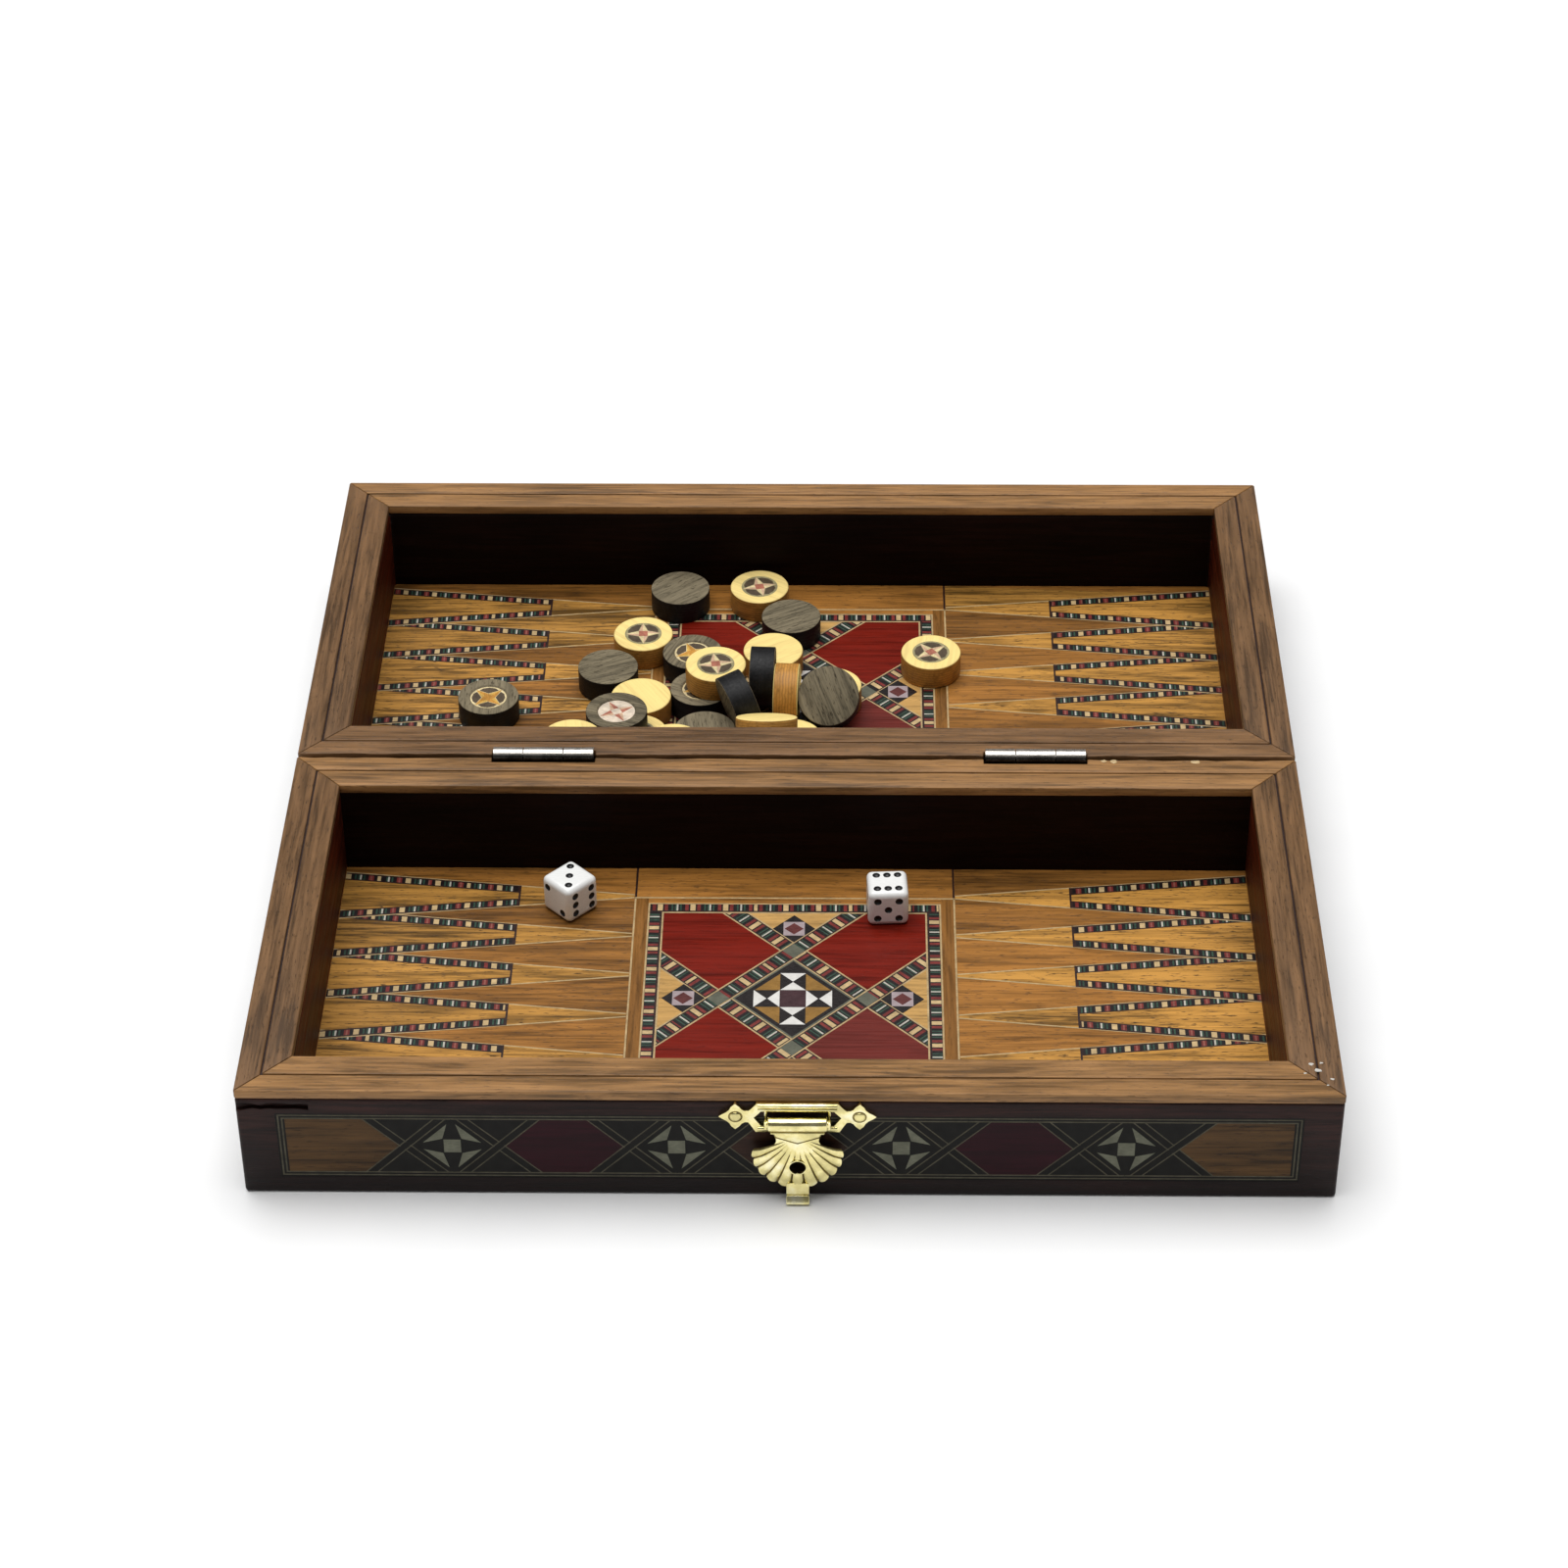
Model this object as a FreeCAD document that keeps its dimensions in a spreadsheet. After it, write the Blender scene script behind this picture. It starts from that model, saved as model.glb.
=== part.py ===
import FreeCAD, Part
import math
import os

# Folding backgammon set: two hinged wooden trays with a brass clasp,
# thirty loose checkers and two dice.
# Millimetres, +Z up.  The origin is on the table, under the middle of the hinge line;
# +X runs along the hinge line and +Y points to the rear tray.

os.makedirs("parts", exist_ok=True)
doc = FreeCAD.newDocument("BackgammonSet")

SIZES = {
    # trays
    "board_width": 200.0,
    "tray_depth": 100.0,
    "tray_height": 25.0,
    "seam_gap": 1.0,
    "rim_width": 9.5,
    "rim_thick": 2.0,
    "outer_band": 4.5,
    "band_joint": 0.1,
    "base_thick": 3.3,
    "playfield_thick": 1.0,
    # marquetry panels let into the outer faces of the walls
    "panel_length": 186.0,
    "panel_side_length": 90.0,
    "panel_low": 4.0,
    "panel_height": 15.5,
    "panel_thick": 0.8,
    # butt hinges
    "left_hinge_centre": -50.5,
    "right_hinge_centre": 48.0,
    "hinge_length": 20.0,
    "knuckle_radius": 1.6,
    "knuckle_side_length": 5.9,
    "knuckle_play": 0.2,
    "pin_radius": 0.6,
    "pin_clearance": 0.06,
    "leaf_thick": 0.8,
    "leaf_depth": 6.0,
    "leaf_inset": 0.2,
    "axis_lift": 0.15,
    "notch_play": 0.3,
    "hinge_screw_spread": 11.0,
    "hinge_screw_drop": 3.2,
    "screw_head_radius": 1.25,
    "screw_head_thick": 0.4,
    "screw_shank_radius": 0.55,
    "screw_length": 5.0,
    "pilot_play": 0.02,
    # clasp
    "clasp_centre": 1.6,
    "plate_thick": 0.8,
    "plate_low": 16.2,
    "plate_height": 6.9,
    "plate_body_width": 17.2,
    "plate_ear_radius": 1.8,
    "plate_lobe_radius": 1.3,
    "plate_lobe_offset": 1.9,
    "plate_lobe_reach": 9.8,
    "plate_tip_reach": 14.3,
    "plate_tip_side": 2.2,
    "slot_low": 17.6,
    "slot_height": 3.6,
    "slot_width": 16.0,
    "bar_radius": 0.8,
    "bar_stand_off": 2.0,
    "lug_width": 1.6,
    "lug_outer": 8.6,
    "pivot_height": 19.3,
    "roll_inner_radius": 0.88,
    "roll_outer_radius": 1.4,
    "roll_width": 10.8,
    "flap_thick": 0.5,
    "flap_hole_height": 9.2,
    "flap_hole_radius": 1.55,
    "flap_tab_width": 4.2,
    "tab_top": 4.6,
    "tab_bend_height": 1.9,
    "lip_length": 1.6,
    "lip_low": 0.6,
    "neck_width": 7.8,
    "neck_height": 15.0,
    "shoulder_width": 15.8,
    "shoulder_height": 12.9,
    "fan_radius": 8.35,
    "fan_centre_height": 12.2,
    "nail_spread": 11.2,
    "nail_height": 20.0,
    "nail_head_radius": 1.1,
    "nail_head_thick": 0.5,
    "nail_shank_radius": 0.45,
    "nail_length": 6.0,
    # keeper on the rear tray
    "keeper_width": 13.0,
    "keeper_height": 6.0,
    "keeper_thick": 0.6,
    "keeper_nose_radius": 1.2,
    "keeper_nose_reach": 3.1,
    "keeper_nail_spread": 4.6,
    # loose pieces
    "checker_radius": 6.4,
    "checker_thick": 5.2,
    "checker_edge": 0.25,
    "medal_radius": 3.9,
    "dark_medal_thick": 0.45,
    "light_medal_thick": 0.78,
    "stack_play": 0.01,
    "medal_pocket": 0.8,
    "die_size": 8.0,
    "die_edge": 0.9,
    "pip_radius": 0.72,
    "pip_depth": 0.3,
    "pip_spacing": 2.1,
}

sheet = doc.addObject("Spreadsheet::Sheet", "Sizes")
for row, (alias, value) in enumerate(SIZES.items(), start=1):
    sheet.set("A%d" % row, alias)
    sheet.set("B%d" % row, "%g" % value)
    sheet.setAlias("B%d" % row, alias)
doc.recompute()

WALL_TOP = "(Sizes.tray_height - Sizes.rim_thick)"
OUTER_EDGE = "(Sizes.seam_gap / 2 + Sizes.tray_depth)"
AXIS_HEIGHT = "(Sizes.tray_height + Sizes.axis_lift)"
INNER_DEPTH = "(Sizes.tray_depth - 2 * Sizes.rim_width)"
INNER_WIDTH = "(Sizes.board_width - 2 * Sizes.rim_width)"
PLATE_MIDDLE = "(Sizes.plate_low + Sizes.plate_height / 2)"
PIVOT_DEPTH = "(-%s - Sizes.bar_stand_off)" % OUTER_EDGE
KEEPER_HEIGHT = "(2 * %s - 2 * Sizes.pivot_height + Sizes.flap_hole_height)" % AXIS_HEIGHT

X_AXIS = FreeCAD.Vector(1, 0, 0)
Y_AXIS = FreeCAD.Vector(0, 1, 0)
Z_AXIS = FreeCAD.Vector(0, 0, 1)

parts = []


# ---------------------------------------------------------------- helpers

def bind(feature, values):
    for prop, expression in values.items():
        feature.setExpression(prop, str(expression))
    return feature


def put(feature, x, y, z, axis=Z_AXIS, angle=0.0):
    feature.Placement = FreeCAD.Placement(FreeCAD.Vector(), FreeCAD.Rotation(axis, angle))
    return bind(feature, {"Placement.Base.x": x, "Placement.Base.y": y, "Placement.Base.z": z})


def block(name, length, width, height, x, y, z):
    """A box whose low corner is at x, y, z."""
    feature = doc.addObject("Part::Box", name)
    bind(feature, {"Length": length, "Width": width, "Height": height})
    return put(feature, x, y, z)


def rod(name, radius, length, x, y, z, axis=Z_AXIS, angle=0.0):
    """A cylinder that starts at x, y, z and runs along the turned +Z direction."""
    feature = doc.addObject("Part::Cylinder", name)
    bind(feature, {"Radius": radius, "Height": length})
    return put(feature, x, y, z, axis, angle)


def rod_x(name, radius, length, x, y, z):
    return rod(name, radius, length, x, y, z, Y_AXIS, 90.0)


def rod_y(name, radius, length, x, y, z):
    return rod(name, radius, length, x, y, z, X_AXIS, -90.0)


def strip(name, length, width, height, x, y, z, angle):
    """A mitred strip: x, y, z is the middle of its outer edge; angle turns its inward side from +Y."""
    feature = doc.addObject("Part::Wedge", name)
    half = "(%s) / 2" % length
    bind(feature, {
        "Xmin": "-(%s)" % half, "Xmax": half, "Ymin": "0", "Ymax": width,
        "Zmin": "0", "Zmax": height, "Z2min": "0", "Z2max": height,
        "X2min": "-(%s) + %s" % (half, width), "X2max": "%s - %s" % (half, width),
    })
    return put(feature, x, y, z, Z_AXIS, angle)


def upright(name, low_width, high_width, height, thick, x, y, z):
    """A vertical plate with sloping sides: x is its middle, y its rear face, z its low edge."""
    feature = doc.addObject("Part::Wedge", name)
    bind(feature, {
        "Xmin": "-(%s) / 2" % low_width, "Xmax": "(%s) / 2" % low_width, "Ymin": "0", "Ymax": height,
        "Zmin": "0", "Zmax": thick, "Z2min": "0", "Z2max": thick,
        "X2min": "-(%s) / 2" % high_width, "X2max": "(%s) / 2" % high_width,
    })
    return put(feature, x, y, z, X_AXIS, 90.0)


def fuse(name, features):
    feature = doc.addObject("Part::MultiFuse", name)
    feature.Shapes = features
    return feature


def cut(name, base, tools):
    tool = tools[0] if len(tools) == 1 else fuse(name + "_tools", tools)
    feature = doc.addObject("Part::Cut", name)
    feature.Base = base
    feature.Tool = tool
    return feature


def group(name, features):
    feature = doc.addObject("Part::Compound", name)
    feature.Links = features
    return feature


def keep(feature, label):
    feature.Label = label
    parts.append(feature)
    return feature


# ---------------------------------------------------------------- trays

HINGES = {"left": "Sizes.left_hinge_centre", "right": "Sizes.right_hinge_centre"}
# tray: (sign of its inward direction along Y, name of its long outer wall)
TRAYS = {"front": (1, "front_latch_wall"), "rear": (-1, "rear_keeper_wall")}


def slab(name, sign, near, width, length, height, x, z):
    """A box with its low x and z at x, z, from near to near + width out from the seam."""
    y = "-(%s) - (%s)" % (near, width) if sign > 0 else near
    return block(name, length, width, height, x, y, z)


def hinge_recesses(name, sign):
    tools = []
    for side, centre in HINGES.items():
        tools.append(slab(
            "%s_%s_leaf_recess" % (name, side), sign, "Sizes.seam_gap / 2",
            "Sizes.leaf_inset + Sizes.leaf_thick - Sizes.seam_gap / 2",
            "Sizes.hinge_length + 2 * Sizes.notch_play", "Sizes.leaf_depth + Sizes.notch_play",
            "%s - Sizes.hinge_length / 2 - Sizes.notch_play" % centre,
            "%s - Sizes.leaf_depth - Sizes.notch_play" % WALL_TOP))
    return tools


def screw_places():
    for side, centre in HINGES.items():
        for step in (-1, 1):
            label = "%s_%s" % (side, "a" if step < 0 else "b")
            yield label, "%s + %d * Sizes.hinge_screw_spread / 2" % (centre, step)


def wall_screw_holes(name, sign):
    holes = []
    for label, x in screw_places():
        start = "-(%s)" % "Sizes.screw_length + Sizes.leaf_inset" if sign > 0 else "Sizes.leaf_inset"
        holes.append(rod_y(
            "%s_%s_pilot" % (name, label), "Sizes.screw_shank_radius + Sizes.pilot_play",
            "Sizes.screw_length", x, start, "%s - Sizes.hinge_screw_drop" % WALL_TOP))
    return holes


def wall_nail_holes(name, sign, spread, height):
    holes = []
    for step in (-1, 1):
        x = "Sizes.clasp_centre + %d * %s" % (step, spread)
        y = "-%s" % OUTER_EDGE if sign > 0 else "%s - Sizes.nail_length" % OUTER_EDGE
        holes.append(rod_y(
            "%s_nail_hole_%s" % (name, "a" if step < 0 else "b"),
            "Sizes.nail_shank_radius + Sizes.pilot_play", "Sizes.nail_length", x, y, height))
    return holes


def long_panel(name, sign):
    y = "-%s" % OUTER_EDGE if sign > 0 else "%s - Sizes.panel_thick" % OUTER_EDGE
    return block(name, "Sizes.panel_length", "Sizes.panel_thick", "Sizes.panel_height",
                 "-Sizes.panel_length / 2", y, "Sizes.panel_low")


def side_panel(name, sign, side):
    x = "-Sizes.board_width / 2" if side < 0 else "Sizes.board_width / 2 - Sizes.panel_thick"
    middle = "%d * (Sizes.seam_gap / 2 + Sizes.tray_depth / 2)" % (-sign)
    return block(name, "Sizes.panel_thick", "Sizes.panel_side_length", "Sizes.panel_height",
                 x, "%s - Sizes.panel_side_length / 2" % middle, "Sizes.panel_low")


def build_tray(tray, sign, long_wall):
    turn = 0.0 if sign > 0 else 180.0
    outer_y = "%d * %s" % (-sign, OUTER_EDGE)
    inner_y = "%d * Sizes.seam_gap / 2" % (-sign)
    middle_y = "%d * (Sizes.seam_gap / 2 + Sizes.tray_depth / 2)" % (-sign)

    # the four mitred walls, with shallow pockets for the marquetry panels
    blank = strip(long_wall + "_blank", "Sizes.board_width", "Sizes.rim_width", WALL_TOP,
                  "0", outer_y, "0", turn)
    nails = wall_nail_holes(
        long_wall, sign, "Sizes.nail_spread" if sign > 0 else "Sizes.keeper_nail_spread",
        "Sizes.nail_height" if sign > 0 else KEEPER_HEIGHT)
    keep(cut(long_wall + "_solid", blank, [long_panel(long_wall + "_pocket", sign)] + nails), long_wall)

    name = tray + "_hinge_wall"
    blank = strip(name + "_blank", "Sizes.board_width", "Sizes.rim_width", WALL_TOP,
                  "0", inner_y, "0", 180.0 - turn)
    keep(cut(name + "_solid", blank, hinge_recesses(name, sign) + wall_screw_holes(name, sign)), name)

    for label, side in (("left", -1), ("right", 1)):
        name = "%s_%s_wall" % (tray, label)
        blank = strip(name + "_blank", "Sizes.tray_depth", "Sizes.rim_width", WALL_TOP,
                      "%d * Sizes.board_width / 2" % side, middle_y, "0", 90.0 * side)
        keep(cut(name + "_solid", blank, [side_panel(name + "_pocket", sign, side)]), name)

    # the base between the walls and the playfield that lies on it
    low_y = "%s - %s / 2" % (middle_y, INNER_DEPTH)
    keep(block(tray + "_base", INNER_WIDTH, INNER_DEPTH, "Sizes.base_thick",
               "-%s / 2" % INNER_WIDTH, low_y, "0"), tray + "_base_panel")
    keep(block(tray + "_field", INNER_WIDTH, INNER_DEPTH, "Sizes.playfield_thick",
               "-%s / 2" % INNER_WIDTH, low_y, "Sizes.base_thick"), tray + "_playfield")

    # the rim edging: an outer and an inner band of four mitred strips each
    strips = []
    bands = (
        ("outer", "0", "Sizes.outer_band"),
        ("inner", "(Sizes.outer_band + Sizes.band_joint)",
         "(Sizes.rim_width - Sizes.outer_band - Sizes.band_joint)"),
    )
    for band, inset, width in bands:
        long_size = "(Sizes.board_width - 2 * %s - 2 * Sizes.band_joint)" % inset
        short_size = "(Sizes.tray_depth - 2 * %s - 2 * Sizes.band_joint)" % inset
        stem = "%s_%s_band" % (tray, band)
        far = strip(stem + "_far", long_size, width, "Sizes.rim_thick",
                    "0", "%d * (%s - %s)" % (-sign, OUTER_EDGE, inset), WALL_TOP, turn)
        near = strip(stem + "_near", long_size, width, "Sizes.rim_thick",
                     "0", "%d * (Sizes.seam_gap / 2 + %s)" % (-sign, inset), WALL_TOP, 180.0 - turn)
        if band == "outer":
            notches = []
            for side, centre in HINGES.items():
                notches.append(slab(
                    "%s_%s_notch" % (stem, side), sign, "Sizes.seam_gap / 2",
                    "Sizes.knuckle_radius + Sizes.notch_play - Sizes.seam_gap / 2",
                    "Sizes.hinge_length + 2 * Sizes.notch_play", "Sizes.rim_thick",
                    "%s - Sizes.hinge_length / 2 - Sizes.notch_play" % centre, WALL_TOP))
            near = cut(stem + "_near_notched", near, notches)
        strips += [far, near]
        for label, side in (("left", -1), ("right", 1)):
            strips.append(strip(
                "%s_%s" % (stem, label), short_size, width, "Sizes.rim_thick",
                "%d * (Sizes.board_width / 2 - %s)" % (side, inset), middle_y, WALL_TOP, 90.0 * side))
    keep(group(tray + "_edging", strips), tray + "_rim_edging")

    # marquetry panels in the wall pockets
    panels = [long_panel(tray + "_long_panel", sign)]
    for label, side in (("left", -1), ("right", 1)):
        panels.append(side_panel("%s_%s_panel" % (tray, label), sign, side))
    keep(group(tray + "_panels", panels), tray + "_side_inlays")


for tray_name, (tray_sign, long_wall_name) in TRAYS.items():
    build_tray(tray_name, tray_sign, long_wall_name)


# ---------------------------------------------------------------- hinges

def build_leaf(side, centre, tray, sign):
    """One hinge leaf: a plate with screw holes and its knuckles round the pin."""
    stem = "%s_%s_leaf" % (side, tray)
    low_x = "%s - Sizes.hinge_length / 2" % centre
    plate = slab(stem + "_plate", sign, "Sizes.leaf_inset", "Sizes.leaf_thick", "Sizes.hinge_length",
                 "Sizes.leaf_depth", low_x, "%s - Sizes.leaf_depth" % WALL_TOP)
    middle_length = "(Sizes.hinge_length - 2 * Sizes.knuckle_side_length - 2 * Sizes.knuckle_play)"
    if sign > 0:
        spans = [("a", low_x, "Sizes.knuckle_side_length"),
                 ("b", "%s + Sizes.hinge_length / 2 - Sizes.knuckle_side_length" % centre,
                  "Sizes.knuckle_side_length")]
    else:
        spans = [("m", "%s - %s / 2" % (centre, middle_length), middle_length)]
    solids = [plate]
    bores = []
    for label, x, length in spans:
        solids.append(slab("%s_web_%s" % (stem, label), sign, "Sizes.leaf_inset", "Sizes.leaf_thick", length,
                           "%s - %s" % (AXIS_HEIGHT, WALL_TOP), x, WALL_TOP))
        solids.append(rod_x("%s_knuckle_%s" % (stem, label), "Sizes.knuckle_radius", length,
                            x, "0", AXIS_HEIGHT))
        bores.append(rod_x("%s_bore_%s" % (stem, label), "Sizes.pin_radius + Sizes.pin_clearance", length,
                           x, "0", AXIS_HEIGHT))
    for label, x in screw_places():
        if not label.startswith(side):
            continue
        z = "%s - Sizes.hinge_screw_drop" % WALL_TOP
        shank_y = "-(Sizes.leaf_inset + Sizes.leaf_thick)" if sign > 0 else "Sizes.leaf_inset"
        head_y = "-(Sizes.leaf_inset + Sizes.screw_head_thick)" if sign > 0 else "Sizes.leaf_inset"
        bores.append(rod_y("%s_%s_hole" % (stem, label), "Sizes.screw_shank_radius + Sizes.pilot_play",
                           "Sizes.leaf_thick", x, shank_y, z))
        bores.append(rod_y("%s_%s_seat" % (stem, label), "Sizes.screw_head_radius + Sizes.pilot_play",
                           "Sizes.screw_head_thick", x, head_y, z))
    return cut(stem + "_solid", fuse(stem + "_blank", solids), bores)


def build_screws(tray, sign):
    screws = []
    for label, x in screw_places():
        stem = "%s_%s_screw" % (tray, label)
        z = "%s - Sizes.hinge_screw_drop" % WALL_TOP
        shank_y = "-(Sizes.leaf_inset + Sizes.screw_length)" if sign > 0 else "Sizes.leaf_inset"
        head_y = "-(Sizes.leaf_inset + Sizes.screw_head_thick)" if sign > 0 else "Sizes.leaf_inset"
        shank = rod_y(stem + "_shank", "Sizes.screw_shank_radius", "Sizes.screw_length", x, shank_y, z)
        head = rod_y(stem + "_head", "Sizes.screw_head_radius", "Sizes.screw_head_thick", x, head_y, z)
        screws.append(fuse(stem, [shank, head]))
    return group(tray + "_screws", screws)


pins = []
for hinge_side, hinge_centre in HINGES.items():
    for tray_name, (tray_sign, long_wall_name) in TRAYS.items():
        keep(build_leaf(hinge_side, hinge_centre, tray_name, tray_sign),
             "%s_hinge_%s_leaf" % (hinge_side, tray_name))
    pins.append(rod_x(hinge_side + "_pin", "Sizes.pin_radius", "Sizes.hinge_length",
                      "%s - Sizes.hinge_length / 2" % hinge_centre, "0", AXIS_HEIGHT))
keep(group("pins", pins), "hinge_pins")
for tray_name, (tray_sign, long_wall_name) in TRAYS.items():
    keep(build_screws(tray_name, tray_sign), tray_name + "_hinge_screws")


# ---------------------------------------------------------------- clasp

def at_clasp(offset):
    return "Sizes.clasp_centre + (%s)" % offset


WALL_FACE = "-%s" % OUTER_EDGE
PLATE_FACE = "(%s - Sizes.plate_thick)" % WALL_FACE

# the plate: a rectangle with a round ear, two lobes and a pointed tip at each end
solids = [block("plate_body", "Sizes.plate_body_width", "Sizes.plate_thick", "Sizes.plate_height",
                at_clasp("-Sizes.plate_body_width / 2"), PLATE_FACE, "Sizes.plate_low")]
for label, side in (("left", -1), ("right", 1)):
    solids.append(rod_y("plate_ear_" + label, "Sizes.plate_ear_radius", "Sizes.plate_thick",
                        at_clasp("%d * Sizes.nail_spread" % side), PLATE_FACE, PLATE_MIDDLE))
    # a square turned on its corner, so that one corner is the tip
    tip_x = "-Sizes.plate_tip_reach" if side < 0 else "Sizes.plate_tip_reach - sqrt(2) * Sizes.plate_tip_side"
    tip = doc.addObject("Part::Box", "plate_tip_" + label)
    bind(tip, {"Length": "Sizes.plate_tip_side", "Width": "Sizes.plate_thick", "Height": "Sizes.plate_tip_side"})
    put(tip, at_clasp(tip_x), PLATE_FACE, PLATE_MIDDLE, Y_AXIS, 45.0)
    solids.append(tip)
    for lobe, step in (("high", 1), ("low", -1)):
        solids.append(rod_y("plate_lobe_%s_%s" % (label, lobe), "Sizes.plate_lobe_radius",
                            "Sizes.plate_thick", at_clasp("%d * Sizes.plate_lobe_reach" % side), PLATE_FACE,
                            "%s + %d * Sizes.plate_lobe_offset" % (PLATE_MIDDLE, step)))
plate_blank = fuse("plate_blank", solids)
slot = block("plate_slot", "Sizes.slot_width", "Sizes.plate_thick", "Sizes.slot_height",
             at_clasp("-Sizes.slot_width / 2"), PLATE_FACE, "Sizes.slot_low")
holes = [slot]
for label, side in (("left", -1), ("right", 1)):
    holes.append(rod_y("plate_nail_hole_" + label, "Sizes.nail_shank_radius + Sizes.pilot_play",
                       "Sizes.plate_thick", at_clasp("%d * Sizes.nail_spread" % side), PLATE_FACE,
                       "Sizes.nail_height"))
plate_flat = cut("plate_flat", plate_blank, holes)
# the raised bar that the flap turns on, and the two lugs that carry it
bar = rod_x("plate_bar", "Sizes.bar_radius", "Sizes.slot_width",
            at_clasp("-Sizes.slot_width / 2"), PIVOT_DEPTH, "Sizes.pivot_height")
lugs = [bar]
for label, side in (("left", -1), ("right", 1)):
    low = "Sizes.lug_outer - Sizes.lug_width" if side > 0 else "-Sizes.lug_outer"
    lugs.append(block("plate_lug_" + label, "Sizes.lug_width", "Sizes.bar_stand_off + Sizes.bar_radius",
                      "2 * Sizes.bar_radius", at_clasp(low),
                      "%s - Sizes.bar_radius" % PIVOT_DEPTH, "Sizes.pivot_height - Sizes.bar_radius"))
keep(fuse("plate_solid", [plate_flat] + lugs), "latch_plate")

# the flap: a sheet rolled round the bar, a neck, a shell-shaped fan with a hole, and a finger tab
sheet_back = "%s + Sizes.flap_thick / 2" % PIVOT_DEPTH
sheet_front = "%s - Sizes.flap_thick / 2" % PIVOT_DEPTH
roll = rod_x("flap_roll", "Sizes.roll_outer_radius", "Sizes.roll_width",
             at_clasp("-Sizes.roll_width / 2"), PIVOT_DEPTH, "Sizes.pivot_height")
neck = upright("flap_neck", "Sizes.neck_width", "Sizes.roll_width", "Sizes.pivot_height - Sizes.neck_height",
               "Sizes.flap_thick", at_clasp("0"), sheet_back, "Sizes.neck_height")
shoulder = upright("flap_shoulder", "Sizes.shoulder_width", "Sizes.neck_width",
                   "Sizes.neck_height - Sizes.shoulder_height", "Sizes.flap_thick", at_clasp("0"),
                   sheet_back, "Sizes.shoulder_height")
fan_disc = rod_y("flap_fan_disc", "Sizes.fan_radius", "Sizes.flap_thick", at_clasp("0"), sheet_front,
                 "Sizes.fan_centre_height")
fan_top = block("flap_fan_top", "2 * Sizes.fan_radius", "2 * Sizes.flap_thick", "2 * Sizes.fan_radius",
                at_clasp("-Sizes.fan_radius"), "%s - Sizes.flap_thick" % PIVOT_DEPTH, "Sizes.shoulder_height")
fan = cut("flap_fan", fan_disc, [fan_top])
tab = block("flap_tab", "Sizes.flap_tab_width", "Sizes.flap_thick", "Sizes.tab_top - Sizes.tab_bend_height",
            at_clasp("-Sizes.flap_tab_width / 2"), sheet_front, "Sizes.tab_bend_height")
# the lip leans out by this many degrees, so it reaches out by half its length
LIP_LEAN = 30.0
lip = doc.addObject("Part::Box", "flap_lip")
bind(lip, {"Length": "Sizes.flap_tab_width", "Width": "Sizes.flap_thick", "Height": "Sizes.lip_length"})
put(lip, at_clasp("-Sizes.flap_tab_width / 2"),
    "%s - Sizes.lip_length / 2" % sheet_front, "Sizes.lip_low", X_AXIS, -LIP_LEAN)
flap_blank = fuse("flap_blank", [roll, neck, shoulder, fan, tab, lip])
flap_bore = rod_x("flap_bore", "Sizes.roll_inner_radius", "Sizes.roll_width",
                  at_clasp("-Sizes.roll_width / 2"), PIVOT_DEPTH, "Sizes.pivot_height")
flap_hole = rod_y("flap_hole", "Sizes.flap_hole_radius", "Sizes.flap_thick", at_clasp("0"), sheet_front,
                  "Sizes.flap_hole_height")
keep(cut("flap_solid", flap_blank, [flap_bore, flap_hole]), "latch_flap")


def build_nails(name, sign, spread, height, under):
    """Two domed nails through a plate of the given thickness."""
    nails = []
    for label, side in (("left", -1), ("right", 1)):
        stem = "%s_%s" % (name, label)
        x = at_clasp("%d * %s" % (side, spread))
        if sign > 0:
            shank_y = "%s - %s" % (WALL_FACE, under)
            head_y = "%s - %s - Sizes.nail_head_thick" % (WALL_FACE, under)
        else:
            shank_y = "%s - Sizes.nail_length" % OUTER_EDGE
            head_y = "%s + %s" % (OUTER_EDGE, under)
        shank = rod_y(stem + "_shank", "Sizes.nail_shank_radius", "Sizes.nail_length + %s" % under, x, shank_y,
                      height)
        head = rod_y(stem + "_head", "Sizes.nail_head_radius", "Sizes.nail_head_thick", x, head_y, height)
        nails.append(fuse(stem, [shank, head]))
    return group(name, nails)


keep(build_nails("nails_of_plate", 1, "Sizes.nail_spread", "Sizes.nail_height", "Sizes.plate_thick"),
     "latch_nails")

keeper_blank = fuse("keeper_blank", [
    block("keeper_sheet", "Sizes.keeper_width", "Sizes.keeper_thick", "Sizes.keeper_height",
          at_clasp("-Sizes.keeper_width / 2"), OUTER_EDGE, "%s - Sizes.keeper_height / 2" % KEEPER_HEIGHT),
    rod_y("keeper_nose", "Sizes.keeper_nose_radius", "Sizes.keeper_nose_reach", at_clasp("0"), OUTER_EDGE,
          KEEPER_HEIGHT),
])
keeper_holes = []
for label, side in (("left", -1), ("right", 1)):
    keeper_holes.append(rod_y("keeper_nail_hole_" + label, "Sizes.nail_shank_radius + Sizes.pilot_play",
                              "Sizes.keeper_thick", at_clasp("%d * Sizes.keeper_nail_spread" % side),
                              OUTER_EDGE, KEEPER_HEIGHT))
keep(cut("keeper_solid", keeper_blank, keeper_holes), "keeper_plate")
keep(build_nails("nails_of_keeper", -1, "Sizes.keeper_nail_spread", KEEPER_HEIGHT, "Sizes.keeper_thick"),
     "keeper_nails")


# ---------------------------------------------------------------- checkers

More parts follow.
